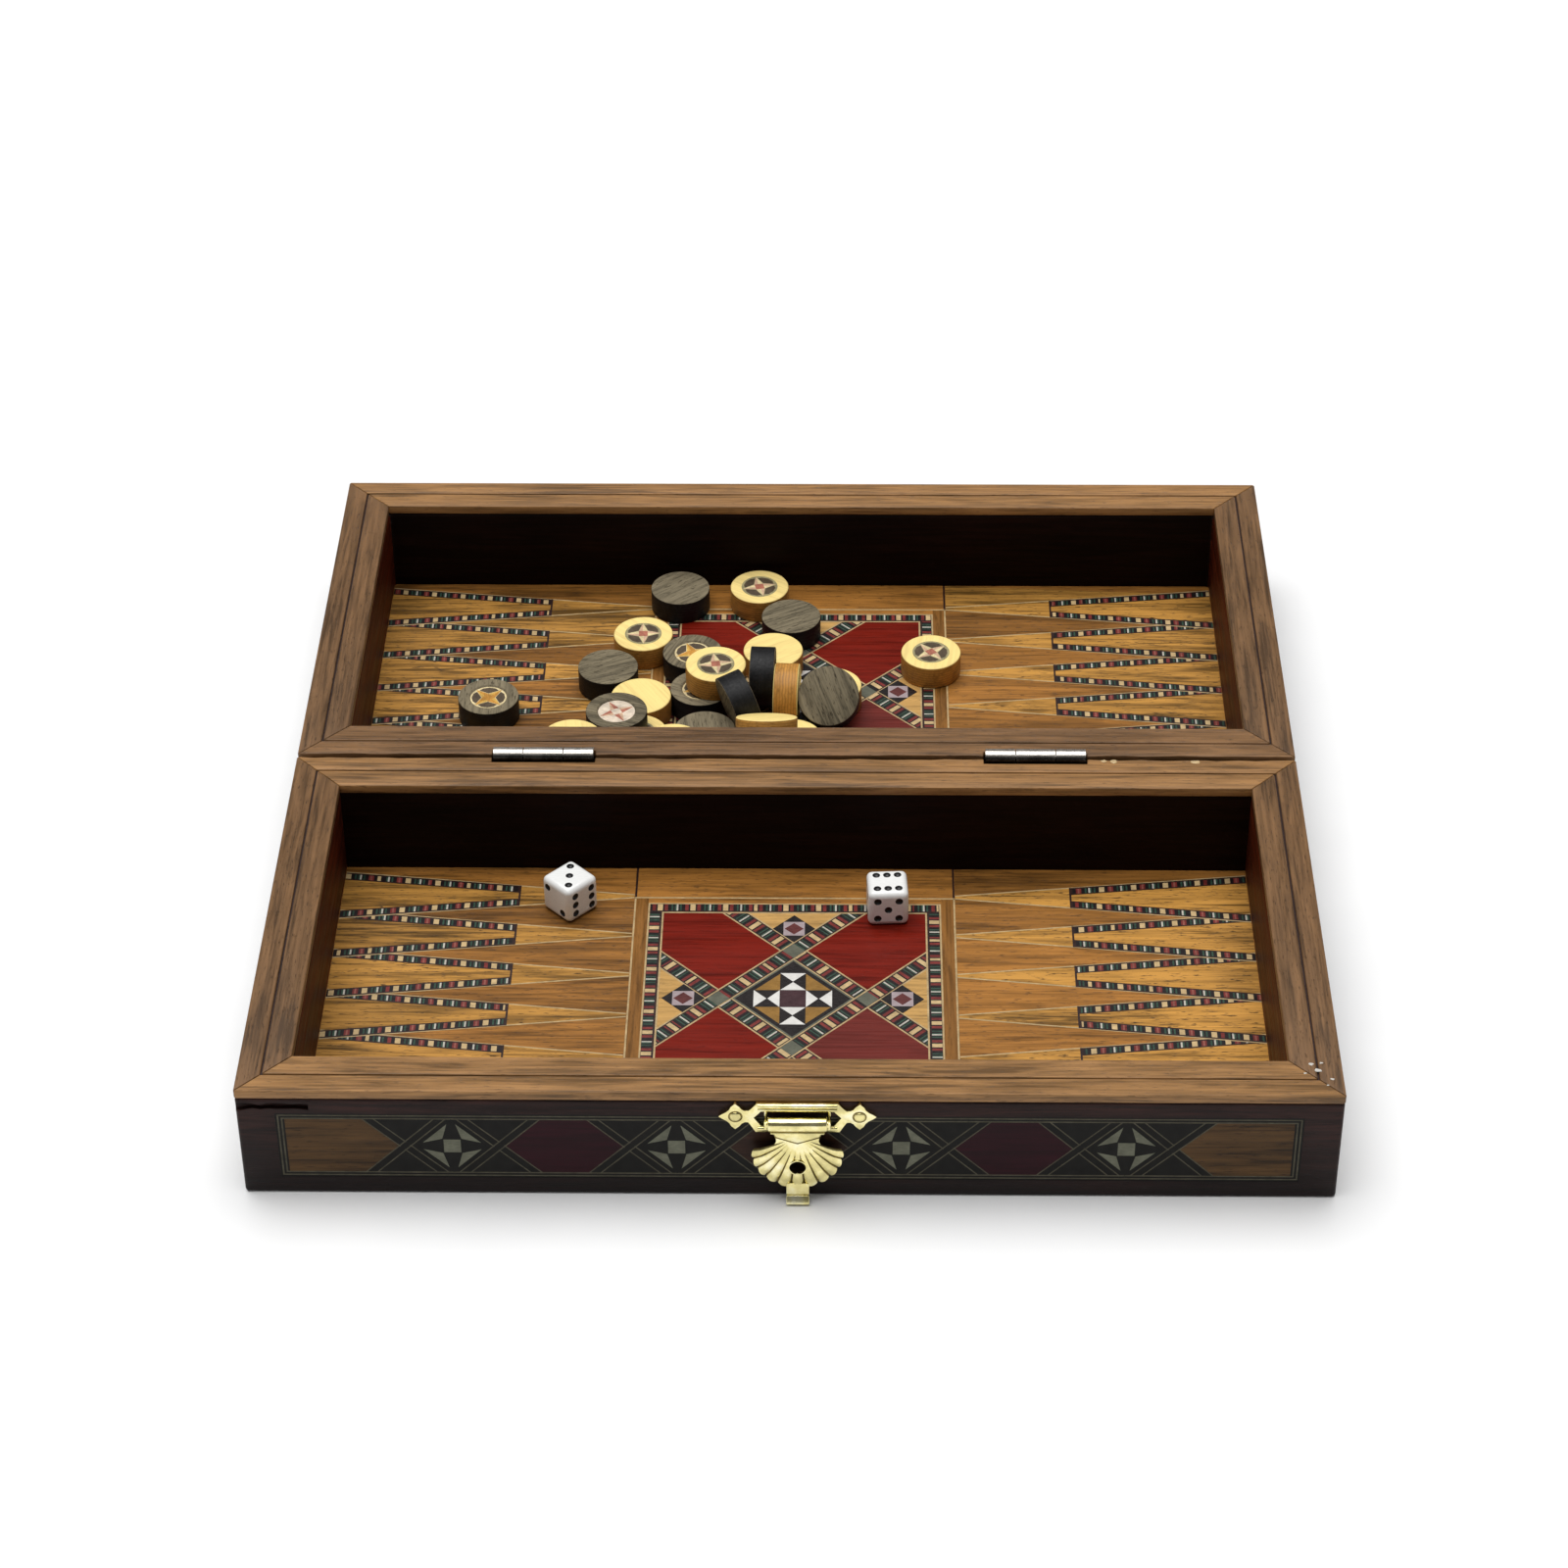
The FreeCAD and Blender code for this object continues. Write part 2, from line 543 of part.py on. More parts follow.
def rounded_body(name, kind, sizes, radius):
    """A PartDesign body from one primitive with all its edges rounded."""
    body = doc.addObject("PartDesign::Body", name)
    solid = body.newObject(kind, name + "_blank")
    bind(solid, sizes)
    doc.recompute()
    edges = ["Edge%d" % (index + 1) for index, edge in enumerate(solid.Shape.Edges)
             if not (kind == "PartDesign::AdditiveCylinder" and len(edge.Vertexes) == 2)]
    rounding = body.newObject("PartDesign::Fillet", name + "_rounding")
    rounding.Base = (solid, edges)
    rounding.setExpression("Radius", radius)
    return body


FIRST_LAYER = "Sizes.base_thick + Sizes.playfield_thick + Sizes.checker_thick / 2"
SECOND_LAYER = "%s + Sizes.checker_thick + Sizes.stack_play" % FIRST_LAYER

# every checker: centre x, y, z, then how far its medal side is tipped from straight up
# and the direction it is tipped to, in degrees; 180 means that the medal side is down
CHECKERS = {
    "dark_checker_01": (-65.6, 41.5, FIRST_LAYER, 0, 20),
    "dark_checker_02": (-26.4, 82.3, FIRST_LAYER, 180, 0),
    "dark_checker_03": (-1.9, 71.6, FIRST_LAYER, 180, 0),
    "dark_checker_04": (-40.8, 52.5, FIRST_LAYER, 180, 0),
    "dark_checker_05": (-37.7, 29.6, SECOND_LAYER, 0, 0),
    "dark_checker_06": (-22.9, 58.1, FIRST_LAYER, 0, 0),
    "dark_checker_07": (-20.8, 44.9, FIRST_LAYER, 0, 0),
    "dark_checker_08": (-19.4, 30.1, FIRST_LAYER, 180, 0),
    "dark_checker_09": (-12.3, 34.6, "13.3", 76.8, 22.1),
    "dark_checker_10": (-7.6, 46.1, "11.5", 90.7, 358.0),
    "dark_checker_11": (6.5, 38.2, "11.7", 136.9, 87.1),
    "dark_checker_12": (-46.6, 16.7, FIRST_LAYER, 180, 0),
    "dark_checker_13": (10.0, 16.6, FIRST_LAYER, 0, 0),
    "dark_checker_14": (-6.5, 13.1, "10.8", 90, 270),
    "dark_checker_15": (23.2, 16.6, FIRST_LAYER, 0, 0),
    "light_checker_01": (-9.0, 82.9, FIRST_LAYER, 0, 0),
    "light_checker_02": (-33.8, 64.8, FIRST_LAYER, 0, 0),
    "light_checker_03": (-33.3, 42.0, FIRST_LAYER, 180, 0),
    "light_checker_04": (-17.5, 46.4, SECOND_LAYER, 0, 0),
    "light_checker_05": (-25.6, 18.7, SECOND_LAYER, 0, 0),
    "light_checker_06": (-33.6, 29.0, FIRST_LAYER, 0, 0),
    "light_checker_07": (-46.5, 20.1, SECOND_LAYER, 180, 0),
    "light_checker_08": (-5.6, 58.9, FIRST_LAYER, 180, 0),
    "light_checker_09": (-2.4, 41.1, "10.8", 90.0, 356.8),
    "light_checker_10": (-6.3, 22.6, "15.1", 151.0, 270),
    "light_checker_11": (-1.3, 27.6, FIRST_LAYER, 180, 0),
    "light_checker_12": (7.0, 46.1, FIRST_LAYER, 0, 0),
    "light_checker_13": (28.3, 58.3, FIRST_LAYER, 0, 0),
    "light_checker_14": (-27.0, 16.6, FIRST_LAYER, 180, 0),
    "light_checker_15": (36.4, 17.6, FIRST_LAYER, 180, 0),
}


def build_checker(label):
    """A rounded disc with a shallow pocket on one face and a thin medal in it."""
    stem = label + "_disc"
    disc = rounded_body(stem, "PartDesign::AdditiveCylinder", {
        "Radius": "Sizes.checker_radius", "Height": "Sizes.checker_thick"}, "Sizes.checker_edge")
    face = "Sizes.checker_thick / 2 - Sizes.medal_pocket"
    bind(disc, {"Placement.Base.z": "-Sizes.checker_thick / 2"})
    pocket = rod(stem + "_pocket", "Sizes.medal_radius", "Sizes.medal_pocket", "0", "0", face)
    medal = rod(stem + "_medal", "Sizes.medal_radius", "Sizes.%s_medal_thick" % label.split("_")[0],
                "0", "0", face)
    return group(stem + "_set", [cut(stem + "_cut", disc, [pocket]), medal])


for checker, (x, y, z, tip_angle, toward) in CHECKERS.items():
    piece = build_checker(checker)
    toward = math.radians(toward)
    tip_axis = FreeCAD.Vector(-math.sin(toward), math.cos(toward), 0)
    put(piece, x, y, z, tip_axis, tip_angle)
    keep(piece, checker)


# ---------------------------------------------------------------- dice

# pip places on a face, in steps of the pip spacing
PIPS = {
    1: [(0, 0)],
    2: [(-1, -1), (1, 1)],
    3: [(-1, -1), (0, 0), (1, 1)],
    4: [(-1, -1), (-1, 1), (1, -1), (1, 1)],
    5: [(-1, -1), (-1, 1), (0, 0), (1, -1), (1, 1)],
    6: [(-1, -1), (-1, 0), (-1, 1), (1, -1), (1, 0), (1, 1)],
}
# die: x, y, turn about Z, then the numbers on its +X, +Y and +Z faces and the pips' own X direction there
DICE = {
    "left_die": (-44.5, -22.5, 45.0, {"+X": 5, "-X": 2, "+Y": 1, "-Y": 6, "+Z": 3, "-Z": 4}),
    "right_die": (18.4, -24.0, 3.0, {"+X": 3, "-X": 4, "+Y": 2, "-Y": 5, "+Z": 6, "-Z": 1}),
}
FACES = {
    "+X": (X_AXIS, Y_AXIS, Z_AXIS), "-X": (-X_AXIS, Y_AXIS, Z_AXIS),
    "+Y": (Y_AXIS, X_AXIS, Z_AXIS), "-Y": (-Y_AXIS, X_AXIS, Z_AXIS),
    "+Z": (Z_AXIS, Y_AXIS, X_AXIS), "-Z": (-Z_AXIS, X_AXIS, Y_AXIS),
}
AXES = (("x", X_AXIS), ("y", Y_AXIS), ("z", Z_AXIS))


def build_die(label, numbers):
    cube = rounded_body(label + "_cube", "PartDesign::AdditiveBox", {
        "Length": "Sizes.die_size", "Width": "Sizes.die_size", "Height": "Sizes.die_size"}, "Sizes.die_edge")
    bind(cube, {"Placement.Base.%s" % axis: "-Sizes.die_size / 2" for axis in "xyz"})
    pips = []
    for face, (normal, across, along) in FACES.items():
        for step_a, step_b in PIPS[numbers[face]]:
            pip = doc.addObject("Part::Sphere", "%s_pip_%d" % (label, len(pips)))
            pip.setExpression("Radius", "Sizes.pip_radius")
            shift = across * step_a + along * step_b
            for axis, unit in AXES:
                pip.setExpression("Placement.Base.%s" % axis, (
                    "%g * (Sizes.die_size / 2 + Sizes.pip_radius - Sizes.pip_depth) + %g * Sizes.pip_spacing"
                    % (normal.dot(unit), shift.dot(unit))))
            pips.append(pip)
    return cut(label + "_solid", cube, pips)


for die, (x, y, turn_angle, face_numbers) in DICE.items():
    piece = build_die(die, face_numbers)
    put(piece, x, y, "Sizes.base_thick + Sizes.playfield_thick + Sizes.die_size / 2", Z_AXIS, turn_angle)
    keep(piece, die)


# ---------------------------------------------------------------- check and export

doc.recompute()
for feature in doc.Objects:
    for state in feature.State:
        if state in ("Invalid", "Error"):
            raise RuntimeError("%s is %s" % (feature.Name, state))
for feature in parts:
    shape = feature.Shape
    if shape.isNull() or not shape.isValid() or not shape.Solids:
        raise RuntimeError("%s has no valid solid" % feature.Label)
    shape.exportStep(os.path.join("parts", feature.Label + ".step"))
    bounds = shape.BoundBox
    print("%-24s %d solids  %8.1f mm3  x %.2f %.2f  y %.2f %.2f  z %.2f %.2f" % (
        feature.Label, len(shape.Solids), shape.Volume, bounds.XMin, bounds.XMax,
        bounds.YMin, bounds.YMax, bounds.ZMin, bounds.ZMax))
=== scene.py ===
import math
import random

import bpy
from bpy.props import FloatProperty, FloatVectorProperty, IntProperty, PointerProperty
from mathutils import Matrix, Vector


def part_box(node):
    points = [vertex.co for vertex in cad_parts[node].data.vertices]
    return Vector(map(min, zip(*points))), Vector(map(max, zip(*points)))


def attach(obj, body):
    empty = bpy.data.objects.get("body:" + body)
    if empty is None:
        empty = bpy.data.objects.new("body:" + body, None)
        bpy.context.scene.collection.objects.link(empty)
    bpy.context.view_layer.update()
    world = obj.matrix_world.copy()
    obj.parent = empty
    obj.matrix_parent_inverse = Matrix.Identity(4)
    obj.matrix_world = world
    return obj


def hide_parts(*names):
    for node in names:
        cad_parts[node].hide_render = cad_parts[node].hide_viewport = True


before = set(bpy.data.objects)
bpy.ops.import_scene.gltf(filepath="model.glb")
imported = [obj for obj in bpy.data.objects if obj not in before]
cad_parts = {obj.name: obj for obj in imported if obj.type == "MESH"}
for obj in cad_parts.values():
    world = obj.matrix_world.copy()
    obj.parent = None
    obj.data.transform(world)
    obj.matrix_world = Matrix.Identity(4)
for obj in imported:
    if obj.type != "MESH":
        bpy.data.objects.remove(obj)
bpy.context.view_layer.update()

bl_info = {
    "name": "Folding Backgammon Set",
    "version": (1, 0, 0),
    "blender": (4, 5, 0),
    "location": "3D View > Sidebar > Backgammon",
    "description": "Inlaid folding backgammon board with checkers, dice, hinges and a brass clasp",
    "category": "Object",
}

MM = 0.001
RNG_SEED = 41


# ------------------------------------------------------------------ sizes and colours

def length(title, about, default):
    return FloatProperty(name=title, description=about, default=default, min=0.01, soft_max=200.0)


def colour(title, about, default):
    return FloatVectorProperty(name=title, description=about, default=default,
                               subtype="COLOR", size=3, min=0.0, max=1.0)


class BackgammonSizes(bpy.types.PropertyGroup):
    """Sizes in millimetres of the details that are only seen, not carried by the frame."""
    point_pitch: length("Point pitch", "Distance from one point to the next, in mm", 12.1)
    first_point: length("First point", "Distance of the first point from the middle of the playfield, in mm", 31.55)
    point_tip: length("Point tip", "Distance of the blunt tips from the middle, in mm", 55.0)
    strip_half: length("Strip half width", "Half the width of a strip of chips, in mm", 1.12)
    slice_width: length("Chip slice", "Width of the thinnest slice in a strip of chips, in mm", 0.36)
    veneer: length("Veneer thickness", "Thickness of the veneers, in mm", 0.25)
    rim_round: length("Rim rounding", "Rounding of the rim edging, in mm", 0.22)
    groove_width: length("Rim groove", "Width of the dark line along the rim, in mm", 0.34)
    checker_round: length("Checker rounding", "Rounding of the checkers' edges, in mm", 0.35)
    rib_height: length("Shell rib height", "Height of the ribs on the clasp's shell, in mm", 0.42)
    shell_ribs: IntProperty(name="Shell ribs", description="Number of ribs on the clasp's shell",
                            default=11, min=3, max=31)


class BackgammonColours(bpy.types.PropertyGroup):
    """Main colours of the woods, chips and metals."""
    walnut: colour("Walnut", "Rim edging", (0.172, 0.090, 0.038))
    golden: colour("Golden wood", "Boards of the playfields", (0.425, 0.208, 0.042))
    brown: colour("Brown wood", "Darker boards of the playfields", (0.250, 0.106, 0.021))
    wall: colour("Stained wall", "Tray walls", (0.0190, 0.0074, 0.0060))
    red: colour("Red field", "Red veneer", (0.162, 0.0095, 0.0038))
    maroon: colour("Maroon field", "Maroon veneer in the walls", (0.0190, 0.0014, 0.0044))
    cream: colour("Cream", "Pale chips and lines", (0.560, 0.400, 0.200))
    green: colour("Green", "Green chips", (0.030, 0.068, 0.045))
    black: colour("Black", "Black chips and grounds", (0.012, 0.008, 0.008))
    light_wood: colour("Light checkers", "Faces of the light checkers", (0.960, 0.735, 0.275))
    dark_wood: colour("Dark checkers", "Faces of the dark checkers", (0.186, 0.154, 0.098))
    brass: colour("Brass", "Clasp and nails", (0.960, 0.850, 0.390))


# ------------------------------------------------------------------ finishes

class Recipe:
    """Makes the nodes of one finish."""

    def __init__(self, name, attribute=None):
        self.material = bpy.data.materials.new(name)
        self.material.use_nodes = True
        self.nodes = self.material.node_tree.nodes
        self.links = self.material.node_tree.links
        self.shader = self.nodes["Principled BSDF"]
        if attribute:
            source = self.nodes.new("ShaderNodeAttribute")
            source.attribute_name = attribute
            self.place = source.outputs["Vector"]
        else:
            self.place = self.nodes.new("ShaderNodeTexCoord").outputs["Object"]

    def feed(self, socket, value):
        if isinstance(value, bpy.types.NodeSocket):
            self.links.new(value, socket)
        elif value is not None:
            socket.default_value = value

    def mapping(self, scale=(1, 1, 1), shift=(0, 0, 0), turn=(0, 0, 0)):
        node = self.nodes.new("ShaderNodeMapping")
        self.links.new(self.place, node.inputs["Vector"])
        node.inputs["Scale"].default_value = scale
        node.inputs["Location"].default_value = shift
        node.inputs["Rotation"].default_value = turn
        return node.outputs["Vector"]

    def height(self):
        """Height above the table."""
        node = self.nodes.new("ShaderNodeSeparateXYZ")
        self.links.new(self.place, node.inputs["Vector"])
        return node.outputs["Z"]

    def noise(self, vector, scale, detail=3.0, roughness=0.55, distortion=0.0):
        node = self.nodes.new("ShaderNodeTexNoise")
        self.links.new(vector, node.inputs["Vector"])
        node.inputs["Scale"].default_value = scale
        node.inputs["Detail"].default_value = detail
        node.inputs["Roughness"].default_value = roughness
        node.inputs["Distortion"].default_value = distortion
        return node.outputs["Fac"]

    def wave(self, vector, scale, distortion=0.0):
        node = self.nodes.new("ShaderNodeTexWave")
        node.bands_direction = "Z"
        self.links.new(vector, node.inputs["Vector"])
        node.inputs["Scale"].default_value = scale
        node.inputs["Distortion"].default_value = distortion
        node.inputs["Detail"].default_value = 2.0
        return node.outputs["Fac"]

    def sum(self, *terms):
        """Adds up (socket, weight) pairs."""
        total = None
        for socket, weight in terms:
            node = self.nodes.new("ShaderNodeMath")
            node.operation = "MULTIPLY_ADD"
            self.feed(node.inputs[0], socket)
            node.inputs[1].default_value = weight
            self.feed(node.inputs[2], total if total is not None else 0.0)
            total = node.outputs[0]
        return total

    def ramp(self, factor, *stops):
        node = self.nodes.new("ShaderNodeValToRGB")
        self.links.new(factor, node.inputs["Fac"])
        elements = node.color_ramp.elements
        while len(elements) < len(stops):
            elements.new(0.5)
        for element, (position, shade) in zip(elements, stops):
            element.position = position
            element.color = (*shade, 1.0) if len(shade) == 3 else shade
        return node.outputs["Color"]

    def limits(self, factor, low, high, out_low, out_high):
        """Stretches the range low..high to out_low..out_high."""
        node = self.nodes.new("ShaderNodeMapRange")
        self.links.new(factor, node.inputs["Value"])
        for socket, value in zip(("From Min", "From Max", "To Min", "To Max"), (low, high, out_low, out_high)):
            node.inputs[socket].default_value = value
        return node.outputs["Result"]

    def mix(self, factor, first, second):
        node = self.nodes.new("ShaderNodeMix")
        node.data_type = "RGBA"
        self.feed(node.inputs[0], factor)
        for socket, value in ((node.inputs[6], first), (node.inputs[7], second)):
            self.feed(socket, value if isinstance(value, bpy.types.NodeSocket) else (*value, 1.0))
        return node.outputs[2]

    def bump(self, height, strength, distance):
        node = self.nodes.new("ShaderNodeBump")
        node.inputs["Strength"].default_value = strength
        node.inputs["Distance"].default_value = distance
        self.links.new(height, node.inputs["Height"])
        self.links.new(node.outputs["Normal"], self.shader.inputs["Normal"])

    def set(self, **values):
        for name, value in values.items():
            self.shader.inputs[name.replace("_", " ")].default_value = value
        return self.material


FINISHES = {}
# painted shade at the foot of the walls fades out over this height, in mm
FOOT_SHADE_HEIGHT = 20.0


def shade(tone, factor):
    return tuple(min(1.0, channel * factor) for channel in tone)


def wood(name, tone, grain="X", depth=0.45, lift=1.45, pores=0.55, fine=1.0, coat=0.04,
         rough=(0.32, 0.50), bump=0.25, seed=0.0, attribute=None, ring=None, specular=0.22, streak=0.3, foot=0.0):
    """Grained wood: growth bands, fine streaks, dark pores and a slow drift of tone.
    ring adds year rings of that scale; a painted shade, set by the last argument, darkens the wood towards the table."""
    recipe = Recipe(name, attribute)
    axis = "XYZ".index(grain)

    def stretched(across, along=1.0):
        return recipe.mapping([along if i == axis else across for i in range(3)], (seed, seed * 1.7, seed * 0.6))

    growth = recipe.noise(stretched(13.0), 42.0 * fine, 5.0, 0.62, 0.8)
    streaks = recipe.noise(stretched(34.0, 1.2), 62.0 * fine, 3.0, 0.5)
    drift = recipe.noise(stretched(1.0), 22.0, 2.0)
    pore = recipe.noise(stretched(8.0), 430.0 * fine, 2.0, 0.6)
    figure = recipe.noise(stretched(9.0, 0.8), 30.0 * fine, 2.0, 0.5, 1.6)
    blend = recipe.sum((growth, 0.62), (streaks, 0.38), (drift, 0.3))
    body = recipe.ramp(blend, (0.53, shade(tone, depth)), (0.64, tone), (0.78, shade(tone, lift)))
    if ring:
        rings = recipe.wave(recipe.mapping((1, 1, 1)), ring, 1.5)
        body = recipe.mix(recipe.limits(rings, 0.55, 1.0, 0.0, 0.5), body, shade(tone, depth * 0.7))
    body = recipe.mix(recipe.limits(figure, 0.56, 0.66, 0.0, streak), body, shade(tone, depth * 0.8))
    pore_mask = recipe.limits(pore, 0.60, 0.68, 0.0, pores)
    body = recipe.mix(pore_mask, body, shade(tone, depth * 0.32))
    # painted shade: the wood is darkened towards the table
    if foot:
        body = recipe.mix(recipe.limits(recipe.height(), 0.0, FOOT_SHADE_HEIGHT * MM, foot, 0.0), body, shade(tone, 0.1))
    recipe.feed(recipe.shader.inputs["Base Color"], body)
    recipe.feed(recipe.shader.inputs["Roughness"], recipe.limits(streaks, 0.3, 0.7, rough[0], rough[1]))
    recipe.bump(recipe.sum((growth, 0.6), (streaks, 0.5), (pore_mask, -0.9)), bump, 0.00025)
    FINISHES[name] = recipe.set(Coat_Weight=coat, Coat_Roughness=0.18, Specular_IOR_Level=specular)
    return FINISHES[name]


def chip(name, tone, variation=0.35, rough=0.34, coat=0.15, seed=0.0, attribute=None, specular=0.35):
    """Small pieces of dyed wood, bone or horn: mottled, with fine fibres."""
    recipe = Recipe(name, attribute)
    mottle = recipe.noise(recipe.mapping((1, 1, 1), (seed, seed, seed)), 420.0, 3.0, 0.6)
    fibre = recipe.noise(recipe.mapping((1, 6, 6)), 900.0, 2.0)
    blend = recipe.sum((mottle, 0.6), (fibre, 0.4))
    body = recipe.ramp(blend, (0.32, shade(tone, 1.0 - variation)), (0.52, tone), (0.70, shade(tone, 1.0 + variation)))
    recipe.feed(recipe.shader.inputs["Base Color"], body)
    recipe.feed(recipe.shader.inputs["Roughness"], recipe.limits(fibre, 0.3, 0.7, rough - 0.07, rough + 0.1))
    recipe.bump(blend, 0.15, 0.0001)
    FINISHES[name] = recipe.set(Coat_Weight=coat, Coat_Roughness=0.15, Specular_IOR_Level=specular)
    return FINISHES[name]


def metal(name, tone, rough, worn=None, wear=0.0, tarnish=0.5, scratch=0.1, top_highlight=None):
    """Rolled and polished metal: dull patches, hairline scratches and bright worn places that on the brass also stand
    in for painted highlights; the last argument paints a highlight above a given height.
    """
    recipe = Recipe(name)
    cloud = recipe.noise(recipe.mapping(), 260.0, 4.0, 0.6)
    hair = recipe.noise(recipe.mapping((1, 22, 22)), 520.0, 2.0)
    body = recipe.ramp(cloud, (0.30, shade(tone, 1.0 - tarnish)), (0.58, tone))
    # bright worn patches; on the brass they also stand in for painted highlights
    if worn:
        body = recipe.mix(recipe.limits(cloud, 0.5, 0.72, 0.0, wear), body, worn)
    # painted highlight: above a height the colour is painted bright
    if top_highlight:
        low, high, bright = top_highlight
        body = recipe.mix(recipe.limits(recipe.height(), low * MM, high * MM, 0.0, 1.0), body, bright)
    recipe.feed(recipe.shader.inputs["Base Color"], body)
    recipe.feed(recipe.shader.inputs["Roughness"],
                recipe.limits(recipe.sum((cloud, 0.6), (hair, 0.4)), 0.35, 0.65, rough * 0.7, rough * 1.5))
    recipe.bump(recipe.sum((hair, 0.5), (cloud, 0.6)), scratch, 0.0001)
    FINISHES[name] = recipe.set(Metallic=1.0)
    return FINISHES[name]


def mix_finishes(colours):
    """Mixes every finish once, from the colours in the panel."""
    # painted shade: the outer walls darken towards the table
    wood("stained_wall", colours.wall, "X", depth=0.5, lift=2.0, pores=0.5, coat=0.0, rough=(0.4, 0.6), specular=0.16,
         foot=0.8)
    wood("stained_wall_end", colours.wall, "Y", depth=0.5, lift=2.0, pores=0.5, coat=0.0, rough=(0.4, 0.6),
         specular=0.16, foot=0.8)
    # painted shade: a near-black copy of the wall wood for the inner faces that lie in shade
    wood("wall_painted_shade", (0.0058, 0.0016, 0.0008), "X", depth=0.5, lift=2.0, pores=0.5, coat=0.0,
         rough=(0.45, 0.65), specular=0.08)
    # painted light: a brighter, redder copy of the wall wood for the lit inner side faces
    wood("wall_inner_painted_light", (0.056, 0.0085, 0.0016), "Y", depth=0.4, lift=1.9, pores=0.5, coat=0.0,
         rough=(0.4, 0.6), specular=0.12)
    wood("rim_walnut", colours.walnut, "X", depth=0.5, lift=1.5, pores=0.6, bump=0.35)
    wood("rim_walnut_end", shade(colours.walnut, 0.9), "Y", depth=0.5, lift=1.45, pores=0.6, bump=0.35, seed=3.0)
    wood("rim_golden_walnut", (0.268, 0.140, 0.052), "X", depth=0.5, lift=1.5, pores=0.5, bump=0.35, seed=5.0)
    wood("rim_pale_walnut", (0.256, 0.132, 0.048), "X", depth=0.5, lift=1.5, pores=0.5, bump=0.35, seed=6.0)
    for number, (tone, seed) in enumerate((
            (colours.golden, 1.0), (shade(colours.golden, 0.86), 2.3), (shade(colours.golden, 1.12), 4.1))):
        wood("golden_board_%d" % number, tone, "X", depth=0.30, lift=1.45, pores=0.95, seed=seed, streak=0.55)
    for number, (tone, seed) in enumerate((
            (colours.brown, 6.0), (shade(colours.brown, 0.85), 7.7), (shade(colours.brown, 1.2), 9.2))):
        wood("brown_board_%d" % number, tone, "X", depth=0.45, lift=1.45, pores=0.7, seed=seed, streak=0.45)
    wood("frame_board", shade(colours.brown, 0.9), "Y", depth=0.6, lift=1.3, pores=0.35, seed=11.0)
    wood("triangle_wood", (0.52, 0.30, 0.095), "X", depth=0.62, lift=1.2, pores=0.4, seed=12.0)
    wood("red_field", colours.red, "X", depth=0.6, lift=1.25, pores=0.35, coat=0.12, rough=(0.26, 0.38), bump=0.1,
         seed=13.0, specular=0.15)
    wood("purple_field", (0.130, 0.019, 0.014), "X", depth=0.7, lift=1.25, pores=0.25, coat=0.18, rough=(0.24, 0.36),
         bump=0.1, seed=14.0)
    wood("maroon_field", colours.maroon, "X", depth=0.7, lift=1.3, pores=0.2, coat=0.0, bump=0.1, seed=15.0,
         specular=0.12)
    wood("end_field", (0.064, 0.032, 0.0100), "X", depth=0.4, lift=1.5, pores=0.6, coat=0.0, seed=16.0, specular=0.15)
    wood("umber_field", (0.024, 0.010, 0.006), "X", depth=0.6, lift=1.4, pores=0.3, coat=0.0, seed=17.0, specular=0.12)
    chip("wall_black", (0.0075, 0.0070, 0.0060), 0.4, rough=0.5, coat=0.0, seed=20.0, specular=0.12)
    chip("wall_sage", (0.130, 0.132, 0.095), 0.3, rough=0.5, coat=0.0, seed=21.0, specular=0.12)
    chip("wall_line", (0.070, 0.063, 0.042), 0.4, rough=0.5, coat=0.0, seed=22.0, specular=0.12)
    chip("lime_white", (0.62, 0.60, 0.55), 0.25, rough=0.6, coat=0.0, seed=23.0)
    wood("torn_wood", (0.022, 0.008, 0.005), "X", depth=0.4, lift=2.6, pores=0.6, coat=0.0, fine=1.5, bump=0.6,
         specular=0.1)
    wood("cover_wood", (0.085, 0.036, 0.016), "X", depth=0.5, lift=1.6, pores=0.5, seed=18.0)
    chip("cream_chip", colours.cream, 0.30)
    chip("cream_line", shade(colours.cream, 0.85), 0.35, seed=2.0)
    chip("white_chip", (0.50, 0.47, 0.40), 0.25, seed=3.0)
    chip("red_chip", (0.180, 0.026, 0.022), 0.45, seed=4.0)
    chip("rose_chip", (0.270, 0.085, 0.065), 0.4, seed=5.0)
    chip("green_chip", colours.green, 0.5, seed=6.0)
    chip("black_chip", colours.black, 0.5, seed=7.0)
    chip("black_line", (0.028, 0.012, 0.010), 0.5, seed=8.0)
    chip("lilac_chip", (0.380, 0.305, 0.315), 0.2, seed=9.0)
    chip("garnet_chip", (0.110, 0.026, 0.024), 0.35, seed=9.5)
    chip("bone_chip", (0.72, 0.70, 0.66), 0.15, seed=10.0)
    chip("ochre_chip", (0.27, 0.14, 0.028), 0.25, seed=11.0)
    chip("plum_chip", (0.050, 0.020, 0.024), 0.3, seed=12.0)
    chip("sage_chip", (0.115, 0.118, 0.085), 0.3, seed=13.0)
    wood("light_face", colours.light_wood, "X", depth=0.86, lift=1.08, pores=0.12, coat=0.05, rough=(0.4, 0.55),
         bump=0.12, attribute="turned_place")
    wood("light_side", (0.48, 0.225, 0.045), "X", depth=0.6, lift=1.25, pores=0.2, coat=0.05, rough=(0.4, 0.6),
         bump=0.2, attribute="turned_place", ring=520.0)
    wood("dark_face", colours.dark_wood, "X", depth=0.55, lift=1.35, pores=0.8, fine=1.3, coat=0.0, rough=(0.55, 0.75),
         bump=0.6, attribute="turned_place", specular=0.12)
